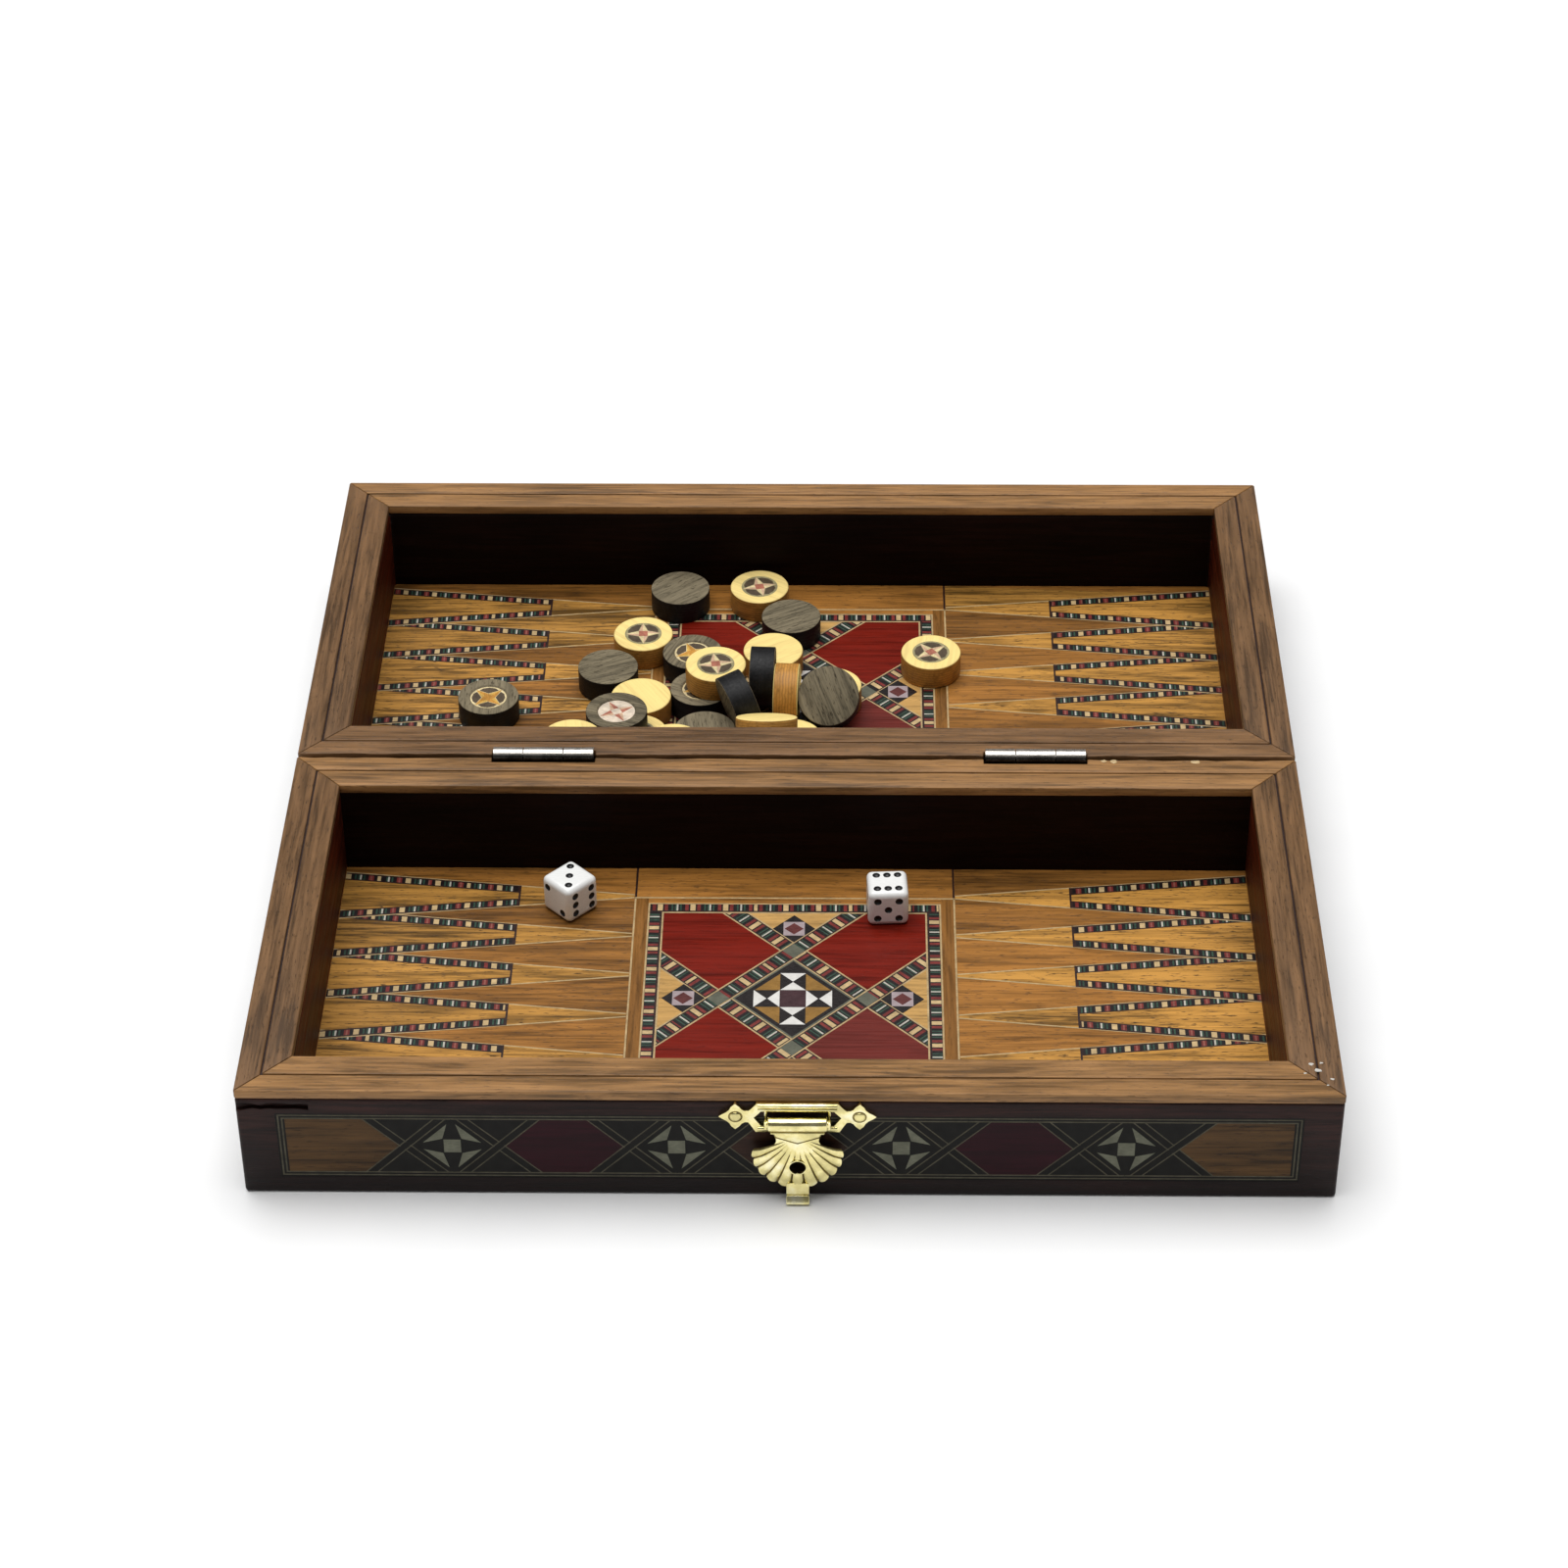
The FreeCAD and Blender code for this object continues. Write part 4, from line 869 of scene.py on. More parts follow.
class BACKGAMMON_OT_rims(MakingOperator, bpy.types.Operator):
    """Lay the mitred walnut edging on both trays"""
    bl_idname = "backgammon.rims"
    bl_label = "Rim edging"

    def make(self, sizes, rng):
        for tray in ("front", "rear"):
            self.edging(tray, sizes)
        self.flecks("front", rng)

    def edging(self, tray, sizes):
        node = tray + "_rim_edging"
        low, high = (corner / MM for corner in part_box(node))
        groove = sizes.groove_width
        outer_band, rim = 4.5, 9.5
        pieces = [self.frame_floor(low, high, rim)]
        for inset, width in ((0.0, outer_band - groove / 2), (outer_band + groove / 2, rim - outer_band - groove / 2)):
            for side in range(4):
                pieces.append(self.strip(tray, low, high, inset, width, side, sizes))
        own(join(pieces, node + "_boards"), tray + "_rim_boards", tray + "_tray", "walnut_edging", node)

    def flecks(self, tray, rng):
        """Dried lime flecks on the front right corner and crumbs beside the right hinge."""
        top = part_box(tray + "_rim_edging")[1].z / MM
        pieces = []
        corners = 9
        for x, y, reach, finish in ((95.6, -93.6, 0.9, "lime_white"), (94.4, -92.0, 0.7, "lime_white"),
                                    (96.3, -91.6, 0.45, "lime_white"), (93.2, -94.4, 0.4, "lime_white"),
                                    (97.9, -96.0, 0.5, "lime_white"), (96.9, -97.6, 0.35, "lime_white"),
                                    (63.4, -1.25, 1.1, "cream_chip"), (61.7, -1.05, 0.8, "cream_chip"),
                                    (79.8, -1.3, 1.1, "cream_chip")):
            outline = []
            for step in range(corners):
                turn = 2 * math.pi * step / corners
                size = reach * rng.uniform(0.45, 1.0)
                outline.append((x + math.cos(turn) * size, y + math.sin(turn) * size * 0.7))
            pieces.append(slab(outline, top - 0.05, top + 0.06, finish, 0.04, 1))
        own(join(pieces, "flecks"), tray + "_flecks", tray + "_tray", "walnut_edging")

    def frame_floor(self, low, high, rim):
        """Dark bed under the boards, seen in the groove and the mitres."""
        parts = []
        bed_low, bed_high = low.z + 0.02, high.z - 0.45
        inset = 0.5
        left, right, near, far = low.x + inset, high.x - inset, low.y + inset, high.y - inset
        for box in ((left, near, right, low.y + rim - inset), (left, high.y - rim + inset, right, far),
                    (left, low.y + rim - inset, low.x + rim - inset, high.y - rim + inset),
                    (high.x - rim + inset, low.y + rim - inset, right, high.y - rim + inset)):
            if box[0] == left and box[2] == right:
                for part in self.between_hinges(box):
                    parts.append(slab(part, bed_low, bed_high, "black_line"))
            else:
                size = (box[2] - box[0], box[3] - box[1], bed_high - bed_low)
                centre = ((box[0] + box[2]) / 2, (box[1] + box[3]) / 2, (bed_low + bed_high) / 2)
                parts.append(block(size, centre, "black_line"))
        return join(parts, "rim_bed")

    def between_hinges(self, box):
        """The bed is left out round the hinges."""
        left, near, right, far = box
        beside_seam, pocket_edge = 5.0, 2.3
        if min(abs(near), abs(far)) >= beside_seam:
            return [rectangle(left, near, right, far)]
        parts = []
        edge = left
        for start, end in hinge_spans(0.4):
            parts.append(rectangle(edge, near, start, far))
            # behind the hinge pocket the bed is narrower
            if near < 0:
                parts.append(rectangle(start, near, end, -pocket_edge))
            else:
                parts.append(rectangle(start, pocket_edge, end, far))
            edge = end
        parts.append(rectangle(edge, near, right, far))
        return parts

    def strip(self, tray, low, high, inset, width, side, sizes):
        """One mitred board; side 0 near, 1 right, 2 far, 3 left."""
        crack = 0.06
        left, right, near, far = low.x + inset, high.x - inset, low.y + inset, high.y - inset
        outer = [(left, near), (right, near), (right, far), (left, far)]
        inner = [(left + width, near + width), (right - width, near + width),
                 (right - width, far - width), (left + width, far - width)]
        after = (side + 1) % 4
        outline = [outer[side], outer[after], inner[after], inner[side]]
        middle_x, middle_y = (left + right) / 2, (near + far) / 2
        eased = []
        for x, y in outline:
            if side in (0, 2):
                eased.append((x - crack if x > middle_x else x + crack, y))
            else:
                eased.append((x, y - crack if y > middle_y else y + crack))
        hinge_side = (tray == "front" and side == 2) or (tray == "rear" and side == 0)
        if hinge_side and inset == 0.0:
            eased = self.notched(eased, tray)
        finish = "rim_walnut_end" if side in (1, 3) else "rim_walnut"
        if tray == "front" and side == 0:
            finish = "rim_golden_walnut"
        elif side == 2:
            finish = "rim_pale_walnut"
        return slab(eased, low.z, high.z, finish, sizes.rim_round, 3)

    def notched(self, outline, tray):
        """Cuts the pockets for the hinge barrels into the outer board."""
        edge = min(abs(y) for _, y in outline)
        sign = -1 if tray == "front" else 1
        pocket_edge = 2.0
        notch = []
        for left, right in hinge_spans(0.35):
            notch += [(left, sign * edge), (left, sign * pocket_edge),
                      (right, sign * pocket_edge), (right, sign * edge)]
        corners = [(x, y) for x, y in outline if abs(abs(y) - edge) < 1e-6]
        others = [(x, y) for x, y in outline if abs(abs(y) - edge) >= 1e-6]
        corners.sort()
        others.sort()
        seam = self.nicked([corners[0]] + notch + [corners[1]], edge, sign)
        return seam + [others[1], others[0]]

    def nicked(self, run, edge, sign):
        """Wears small uneven nicks into the straight stretches of the seam edge."""
        rng = random.Random(RNG_SEED + sign)
        spacing, wander, depth = 3.5, 0.9, 0.36
        worn = [run[0]]
        for start, end in zip(run, run[1:]):
            if abs(abs(start[1]) - edge) < 1e-6 and abs(abs(end[1]) - edge) < 1e-6:
                count = int((end[0] - start[0]) // spacing)
                for step in range(1, count):
                    x = start[0] + (end[0] - start[0]) * step / count + rng.uniform(-wander, wander)
                    worn.append((x, sign * (edge + rng.uniform(0.0, depth))))
            worn.append(end)
        return worn


class BACKGAMMON_OT_playfields(MakingOperator, bpy.types.Operator):
    """Lay the marquetry of both playfields"""
    bl_idname = "backgammon.playfields"
    bl_label = "Playfields"

    def make(self, sizes, rng):
        for tray in ("front", "rear"):
            node = tray + "_playfield"
            low, high = (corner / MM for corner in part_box(node))
            top = high.z - 0.075
            face = lay(build_playfield(sizes, rng), tray + "_playfield_face", sizes)
            settle(face, Matrix.Translation(Vector((0, (low.y + high.y) / 2, top)) * MM))
            bed_high = top - 0.1
            bed = block((high.x - low.x, high.y - low.y, bed_high - low.z),
                        ((low.x + high.x) / 2, (low.y + high.y) / 2, (low.z + bed_high) / 2), "brown_board_1", 0.1)
            own(join([face, bed], node + "_marquetry"), tray + "_playfield_marquetry", tray + "_tray",
                "playfield_marquetry", node)


class BACKGAMMON_OT_side_inlays(MakingOperator, bpy.types.Operator):
    """Let the inlaid panels into the outer walls"""
    bl_idname = "backgammon.side_inlays"
    bl_label = "Side inlays"

    def make(self, sizes, rng):
        bed_thick = PANEL_DEPTH - 0.15
        for tray, sign in (("front", -1), ("rear", 1)):
            node = tray + "_side_inlays"
            low, high = (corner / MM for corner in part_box(node))
            near = low.y if sign < 0 else high.y
            height = (low.z + high.z) / 2
            side_middle = sign * SIDE_PANEL_MIDDLE
            walls = [
                ((0, near, height), Vector((-sign, 0, 0)), LONG_PANEL / 2, LONG_STARS, LONG_HEXAGONS),
                ((low.x, side_middle, height), Vector((0, -1, 0)), SIDE_PANEL / 2, SIDE_STARS, SIDE_HEXAGONS),
                ((high.x, side_middle, height), Vector((0, 1, 0)), SIDE_PANEL / 2, SIDE_STARS, SIDE_HEXAGONS),
            ]
            pieces = []
            for spot, right, half_length, stars, hexagons in walls:
                face = lay(wall_panel(half_length, stars, hexagons), "panel", sizes)
                bed = block((2 * half_length, WALL_PANEL_HIGH, bed_thick), (0, 0, -0.1 - bed_thick / 2), "wall_black")
                panel = join([face, bed], "panel")
                up = Vector((0, 0, 1))
                out = right.cross(up)
                turn = Matrix((right, up, out)).transposed().to_4x4()
                settle(panel, Matrix.Translation((Vector(spot) - out * 0.035) * MM) @ turn)
                pieces.append(panel)
            own(join(pieces, node + "_panels"), tray + "_wall_panels", tray + "_tray", "side_marquetry", node)


class BACKGAMMON_OT_undersides(MakingOperator, bpy.types.Operator):
    """Veneer the outer faces of both bases"""
    bl_idname = "backgammon.undersides"
    bl_label = "Undersides"

    def make(self, sizes, rng):
        for tray in ("front", "rear"):
            node = tray + "_base_panel"
            low, high = (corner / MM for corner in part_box(node))
            half_s, half_t = (high.x - low.x) / 2, (high.y - low.y) / 2
            pieces = [cut_veneer(rectangle(-half_s, -half_t, half_s, half_t), 0.0, "cover_wood")]
            for inset, finish in ((3.0, "cream_line"), (3.4, "black_line"), (6.2, "cream_line"), (6.6, "cover_wood")):
                pieces.append(cut_veneer(rectangle(-half_s + inset, -half_t + inset, half_s - inset, half_t - inset),
                                         0.002 * inset, finish))
            row_s, row_t = half_s - 4.8, half_t - 4.8
            half_row = 1.1
            end_s, end_t = row_s + half_row, row_t - 1.3
            for start, end in (((-end_s, row_t), (end_s, row_t)), ((-end_s, -row_t), (end_s, -row_t)),
                               ((row_s, -end_t), (row_s, end_t)), ((-row_s, -end_t), (-row_s, end_t))):
                pieces.append(chip_row(start, end, half_row, 0.0165, BORDER_CHIPS, sizes.slice_width * 1.2, rng))
            for side in (-1, 1):
                for t in (-15.5, 15.5):
                    pieces += self.hexagon(side, t)
            pieces += star_panel(0.0, sizes, rng)
            face = lay(pieces, tray + "_underside_face", sizes)
            settle(face, Matrix.Translation(Vector((0, (low.y + high.y) / 2, low.z + 0.06)) * MM)
                   @ Matrix.Rotation(math.pi, 4, "X"))
            bed = block((high.x - low.x, high.y - low.y, high.z - low.z - 0.2),
                        (0, (low.y + high.y) / 2, (high.z + low.z + 0.2) / 2), "cover_wood", 0.1)
            own(join([face, bed], node + "_veneered"), tray + "_underside", tray + "_tray", "base_wood", node)


    def hexagon(self, side, t):
        """A red hexagon with a pale edge and a small eye in its middle."""
        middle_s = side * 56
        pale = [(side * 34, t), (side * 45, t + 11), (side * 67, t + 11), (side * 78, t),
                (side * 67, t - 11), (side * 45, t - 11)]
        red = [(side * 34.5, t), (side * 45.2, t + 10.6), (side * 66.8, t + 10.6), (side * 77.5, t),
               (side * 66.8, t - 10.6), (side * 45.2, t - 10.6)]
        return [cut_veneer(outline, lift, finish) for outline, lift, finish in (
            (pale, 0.018, "cream_line"), (red, 0.020, "red_field"), (diamond(middle_s, t, 6), 0.022, "black_chip"),
            (rectangle(middle_s - 2.9, t - 2.9, middle_s + 2.9, t + 2.9), 0.024, "bone_chip"),
            (diamond(middle_s, t, 2.6), 0.026, "red_chip"))]


class BACKGAMMON_OT_hinges(MakingOperator, bpy.types.Operator):
    """Blacken the hinges and screws"""
    # Give the hinges dark steel, partly painted shade, with a painted highlight along the top of the barrels, and the
    # screws plain steel
    bl_idname = "backgammon.hinges"
    bl_label = "Hinges"

    def make(self, sizes, rng):
        for hinge in ("left_hinge", "right_hinge"):
            refinish(hinge + "_front_leaf", "hinge_steel")
            refinish(hinge + "_rear_leaf", "hinge_steel")
        for node in ("hinge_pins", "front_hinge_screws", "rear_hinge_screws"):
            refinish(node, "screw_steel")


CHECKER_RADIUS, CHECKER_THICK, MEDAL_RADIUS = 6.4, 5.2, 4.1
# how far a checker is tipped in degrees, and the azimuth it tips towards; 180 lies medal down
CHECKER_TILTS = {
    "dark_checker_02": (180, 0), "dark_checker_03": (180, 0), "dark_checker_04": (180, 0), "dark_checker_08": (180, 0),
    "dark_checker_09": (76.8, 22.1), "dark_checker_10": (90.7, 358), "dark_checker_11": (136.9, 87.1),
    "dark_checker_12": (180, 0), "dark_checker_14": (90, 270),
    "light_checker_03": (180, 0), "light_checker_07": (180, 0), "light_checker_08": (180, 0),
    "light_checker_09": (90, 356.8), "light_checker_10": (151, 270), "light_checker_11": (180, 0),
    "light_checker_14": (180, 0), "light_checker_15": (180, 0),
}
MEDAL_TONES = {
    # ring, the two halves of the star arms, heart, gaps
    "light": ("ring_sage_turned", "medal_cream", "medal_blush", "medal_rose", "medal_umber"),
    "dark": ("medal_cream", "medal_amber", "medal_gold", "medal_amber", "medal_umber"),
    "dark_checker_05": ("medal_bone", "medal_rose", "medal_blush", "medal_bone", "medal_bone"),
}
MEDAL_FINISHES = {
    "ring_sage_turned": (0.330, 0.290, 0.150), "medal_rose": (0.430, 0.150, 0.095),
    "medal_cream": (0.740, 0.600, 0.330), "medal_umber": (0.085, 0.060, 0.036),
    "medal_blush": (0.620, 0.400, 0.260), "medal_gold": (0.660, 0.390, 0.080),
    "medal_amber": (0.560, 0.260, 0.040), "medal_bone": (0.720, 0.600, 0.470),
}
# one quarter of a medal, in mm: the two halves of a star arm, and the dark gap beside it
ARM_HALVES = ([(1.35, 0.0), (2.7, 2.7), (0.6, 0.75)], [(0.6, 0.75), (2.7, 2.7), (0.0, 1.35)])
MEDAL_GAP = [(1.5, 0.0), (2.5, -2.05), (3.25, -1.35), (3.55, 0.0), (3.25, 1.35), (2.5, 2.05)]


class BACKGAMMON_OT_checkers(MakingOperator, bpy.types.Operator):
    """Turn the light and dark checkers, one of each kind, and lay out the copies"""
    bl_idname = "backgammon.checkers"
    bl_label = "Checkers"
    patterns = {}

    def make(self, sizes, rng):
        for name, tone in MEDAL_FINISHES.items():
            chip(name, tone, 0.4, rough=0.4, attribute="turned_place")
        for kind in ("light", "dark"):
            for number in range(1, 16):
                node = "%s_checker_%02d" % (kind, number)
                tones = MEDAL_TONES.get(node, MEDAL_TONES[kind])
                self.place(self.turned(kind, tones, sizes), node, kind, rng)

    def turned(self, kind, tones, sizes):
        key = kind + "".join(tones)
        if key not in self.patterns:
            self.patterns[key] = self.turn_one(kind, tones, sizes)
        return self.patterns[key]

    def turn_one(self, kind, tones, sizes):
        """A round disc with a shallow recess in its upper face and the medal laid in it."""
        radius, thick, medal = CHECKER_RADIUS, CHECKER_THICK, MEDAL_RADIUS
        recess = 0.05 if kind == "light" else 0.35
        bpy.ops.mesh.primitive_cylinder_add(vertices=64, radius=radius * MM, depth=thick * MM)
        body = bpy.context.object
        body.data.materials.append(FINISHES[kind + "_side"])
        body.data.materials.append(FINISHES[kind + "_face"])
        bpy.ops.object.mode_set(mode="EDIT")
        bpy.ops.mesh.select_mode(type="FACE")
        bpy.ops.mesh.select_all(action="DESELECT")
        bpy.ops.object.mode_set(mode="OBJECT")
        for face in body.data.polygons:
            face.select = face.normal.z > 0.9
            face.material_index = 1 if abs(face.normal.z) > 0.9 else 0
        bpy.ops.object.mode_set(mode="EDIT")
        bpy.ops.mesh.inset(thickness=(radius - medal) * MM, depth=0.0)
        bpy.ops.mesh.inset(thickness=0.12 * MM, depth=-recess * MM)
        bpy.ops.object.mode_set(mode="OBJECT")
        soften(body, sizes.checker_round, 3)
        top = thick / 2 - recess
        base, arm, other_arm, heart, gap = tones
        level = top + 0.01
        ring = [(math.cos(a) * (medal - 0.13), math.sin(a) * (medal - 0.13))
                for a in (i * math.pi / 24 for i in range(48))]
        pieces = [cut_veneer(ring, level, base)]
        for turns in range(4):
            for half, finish in zip(ARM_HALVES, (arm, other_arm)):
                pieces.append(cut_veneer(quarter_turned(half, turns), level + 0.02, finish))
            pieces.append(cut_veneer(quarter_turned(MEDAL_GAP, turns), level + 0.015, gap))
        pieces.append(cut_veneer(diamond(0, 0, 1.3), level + 0.02, heart))
        medal_face = join(pieces, "medal")
        modify(medal_face, "SOLIDIFY", thickness=0.06 * MM, offset=-1.0)
        return join([body, medal_face], kind + "_checker_model")

    def place(self, model, node, kind, rng):
        clear_selection()
        piece = model.copy()
        piece.data = model.data.copy()
        bpy.context.scene.collection.objects.link(piece)
        place = piece.data.attributes.new("turned_place", "FLOAT_VECTOR", "POINT")
        shift = Vector((rng.uniform(-0.2, 0.2), rng.uniform(-0.2, 0.2), rng.uniform(-0.2, 0.2)))
        for entry, corner in zip(place.data, piece.data.vertices):
            entry.vector = corner.co + shift
        tip, toward = CHECKER_TILTS.get(node, (0, 0))
        toward = math.radians(toward)
        axis = Vector((-math.sin(toward), math.cos(toward), 0.0))
        spin = Matrix.Rotation(rng.uniform(0, 2 * math.pi), 4, "Z")
        settle(piece, Matrix.Translation(middle(node)) @ Matrix.Rotation(math.radians(tip), 4, axis) @ spin)
        own(piece, node.replace("checker", "piece"), node + "_piece", kind + "_checker_wood", node)

    def execute(self, context):
        result = super().execute(context)
        for model in self.patterns.values():
            bpy.data.objects.remove(model)
        self.patterns.clear()
        return result


DIE_SIZE, PIP_SPACING, PIP_RADIUS = 8.0, 2.1, 0.86
# places of the pips on a face, one step across and one along
PIPS = {
    1: [(0, 0)], 2: [(-1, -1), (1, 1)], 3: [(-1, -1), (0, 0), (1, 1)],
    4: [(-1, -1), (-1, 1), (1, -1), (1, 1)],
    5: [(-1, -1), (-1, 1), (0, 0), (1, -1), (1, 1)],
    6: [(-1, -1), (-1, 0), (-1, 1), (1, -1), (1, 0), (1, 1)],
}
# turn of each die in degrees, and the number on each of its faces
DICE = {
    "left_die": (45.0, {"+X": 5, "-X": 2, "+Y": 1, "-Y": 6, "+Z": 3, "-Z": 4}),
    "right_die": (3.0, {"+X": 3, "-X": 4, "+Y": 2, "-Y": 5, "+Z": 6, "-Z": 1}),
}
# each face: outwards, across, along
DIE_FACES = {
    "+X": ((1, 0, 0), (0, 1, 0), (0, 0, 1)), "-X": ((-1, 0, 0), (0, 1, 0), (0, 0, 1)),
    "+Y": ((0, 1, 0), (1, 0, 0), (0, 0, 1)), "-Y": ((0, -1, 0), (1, 0, 0), (0, 0, 1)),
    "+Z": ((0, 0, 1), (0, 1, 0), (1, 0, 0)), "-Z": ((0, 0, -1), (1, 0, 0), (0, 1, 0)),
}


class BACKGAMMON_OT_dice(MakingOperator, bpy.types.Operator):
    """Shape the two dice with hollow pips"""
    bl_idname = "backgammon.dice"
    bl_label = "Dice"

    def make(self, sizes, rng):
        for die, (turn, numbers) in DICE.items():
            cube = block((DIE_SIZE, DIE_SIZE, DIE_SIZE), (0, 0, 0), "die_body", 1.15, 5)
            cube.data.materials.append(FINISHES["die_pip"])
            pips = []
            for face, (normal, across, along) in DIE_FACES.items():
                for a, b in PIPS[numbers[face]]:
                    spot = (Vector(normal) * (DIE_SIZE / 2 + 0.38) + Vector(across) * (PIP_SPACING * a)
                            + Vector(along) * (PIP_SPACING * b))
                    bpy.ops.mesh.primitive_uv_sphere_add(segments=20, ring_count=12, radius=PIP_RADIUS * MM,
                                                         location=spot * MM)
                    pip = settle(bpy.context.object)
                    pip.data.materials.append(FINISHES["die_pip"])
                    pips.append(pip)
            cutter = join(pips, "pips")
            modify(cube, "BOOLEAN", operation="DIFFERENCE", solver="EXACT", object=cutter)
            bpy.data.objects.remove(cutter)
            pick(cube)
            bpy.ops.object.shade_smooth_by_angle(angle=math.radians(42.0))
            settle(cube, Matrix.Translation(middle(die)) @ Matrix.Rotation(math.radians(turn), 4, "Z"))
            own(cube, die + "_cube", die + "_piece", "die_white", die)


# right halves of the clasp's face plate and of the flap's neck, in mm from the middle and above the table
PLATE_HALF = [
    (0.0, 23.05), (7.4, 23.05), (8.3, 21.9), (8.9, 21.35), (9.5, 21.35), (10.1, 21.75), (10.5, 22.35), (11.25, 23.05),
    (12.0, 22.3), (12.3, 21.6), (12.9, 21.0), (13.7, 20.5), (14.25, 20.0), (13.7, 19.5), (12.9, 19.0), (12.3, 18.4),
    (12.0, 17.7), (11.25, 16.95), (10.5, 17.65), (10.1, 18.25), (9.5, 18.65), (8.9, 18.6), (8.3, 17.6), (7.6, 16.3),
    (0.0, 16.25)]
NECK_HALF = [
    (5.3, 19.1), (4.95, 18.2), (4.4, 17.1), (4.0, 16.2), (3.9, 15.3), (4.2, 14.5), (4.9, 13.8), (6.0, 13.25),
    (7.4, 12.95), (6.0, 12.4), (3.0, 12.6), (0.0, 12.2)]
# the bar and the roll of the flap turn at this height, this far in front of the wall
CLASP_AXIS, CLASP_STAND_OFF = 19.3, 2.0
FLAP_HOLE, FLAP_HOLE_RADIUS = 9.2, 1.55


class BACKGAMMON_OT_clasp(MakingOperator, bpy.types.Operator):
    """Shape the brass clasp, its nails and the keeper"""
    bl_idname = "backgammon.clasp"
    bl_label = "Clasp"

    def make(self, sizes, rng):
        plate_low, plate_high = (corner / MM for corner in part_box("latch_plate"))
        self.centre = (plate_low.x + plate_high.x) / 2
        self.wall = plate_high.y
        self.upright = Matrix.Translation((self.centre * MM, self.wall * MM, 0)) @ Matrix.Rotation(math.pi / 2, 4, "X")
        self.plate()
        self.nails("latch_nails", 11.2, 20.0, 0.8, "front_tray")
        self.flap(sizes)
        self.keeper()

    def plate(self):
        """Face plate with trefoil ends and a long pointed slot; local s, t and height from the wall."""
        sheet = slab(mirrored(PLATE_HALF), 0.0, 0.8, "brass_sheet")
        slot = slab([(-7.9, 19.7), (-6.6, 21.2), (6.6, 21.2), (7.9, 19.7), (6.6, 17.75), (-6.6, 17.75)], -1.0, 3.0,
                    "brass_sheet")
        modify(sheet, "BOOLEAN", operation="DIFFERENCE", solver="EXACT", object=slot)
        bpy.data.objects.remove(slot)
        soften(sheet, 0.16, 2, 50.0)
        pieces = [sheet]
        for t, radius in ((22.5, 0.42), (21.7, 0.34), (17.15, 0.42)):
            pieces.append(rod((-7.2, t, 0.72), (7.2, t, 0.72), radius, "brass_sheet", 24))
        # the bar between its two lugs
        pieces.append(rod((-5.9, CLASP_AXIS, CLASP_STAND_OFF), (5.9, CLASP_AXIS, CLASP_STAND_OFF), 0.78,
                          "brass_sheet", 32))
        for side in (-1, 1):
            pieces.append(block((0.5, 3.9, 0.7), (side * 5.75, 19.45, 0.4), "brass_sheet", 0.15, 3))
            pieces.append(block((0.5, 1.7, 2.4), (side * 5.75, CLASP_AXIS, 1.5), "brass_sheet", 0.15, 3))
        # painted shade: dark strips along the plate's creases
        for t in (22.1, 21.38, 17.62):
            pieces.append(block((13.6, 0.15, 0.12), (0, t, 0.8), "brass_crease_shade", 0.04, 1))
        own(settle(join(pieces, "plate"), self.upright), "clasp_plate", "front_tray", "clasp_brass", "latch_plate")

    def nails(self, node, spread, height, level, body, matrix=None):
        """Domed nail heads on their shanks."""
        dome_radius, flatness = 1.08, 0.48
        pieces = []
        for side in (-1, 1):
            bpy.ops.mesh.primitive_uv_sphere_add(segments=32, ring_count=16, radius=1.0)
            dome = bpy.context.object
            for corner in dome.data.vertices:
                corner.co = ((side * spread + corner.co.x * dome_radius) * MM,
                             (height + corner.co.y * dome_radius) * MM,
                             (level + max(-0.02, corner.co.z) * flatness) * MM)
            dome.data.materials.append(FINISHES["brass_nail"])
            pick(dome)
            bpy.ops.object.shade_smooth()
            pieces.append(dome)
            # painted shade: a dark ring round each nail head
            pieces.append(self.ring((side * spread, height, level), 1.2, 0.11, "brass_crease_shade"))
            pieces.append(rod((side * spread, height, -5.2), (side * spread, height, level), 0.45, "brass_nail", 16))
        own(settle(join(pieces, node), matrix or self.upright), node + "_domed", body, "nail_brass", node)

    def ring(self, centre, radius, thick, finish):
        """A thin round bead lying in the sheet."""
        bpy.ops.mesh.primitive_torus_add(major_radius=radius * MM, minor_radius=thick * MM, major_segments=48,
                                         minor_segments=10)
        bead = settle(bpy.context.object, Matrix.Translation(Vector(centre) * MM))
        bead.data.materials.append(FINISHES[finish])
        pick(bead)
        bpy.ops.object.shade_smooth()
        return bead

    def flap(self, sizes):
        """Shell flap on its roll: neck with a V fold, ribbed fan, hole, tab and lip."""
        front = CLASP_STAND_OFF
        # the fan's rays start at the apex; its edge is an arc about a lower centre
        apex, fan_centre, fan_radius = 16.3, 12.2, 8.35
        throat, valley = 1.2, 0.45
        sweep = math.radians(68.0)
        ribs = sizes.shell_ribs
        drop = apex - fan_centre
        bpy.ops.mesh.primitive_grid_add(x_subdivisions=132, y_subdivisions=40, size=1.0)
        fan = bpy.context.object
        fan.data.materials.append(FINISHES["brass_sheet"])
        fan.data.materials.append(FINISHES["brass_crease_shade"])
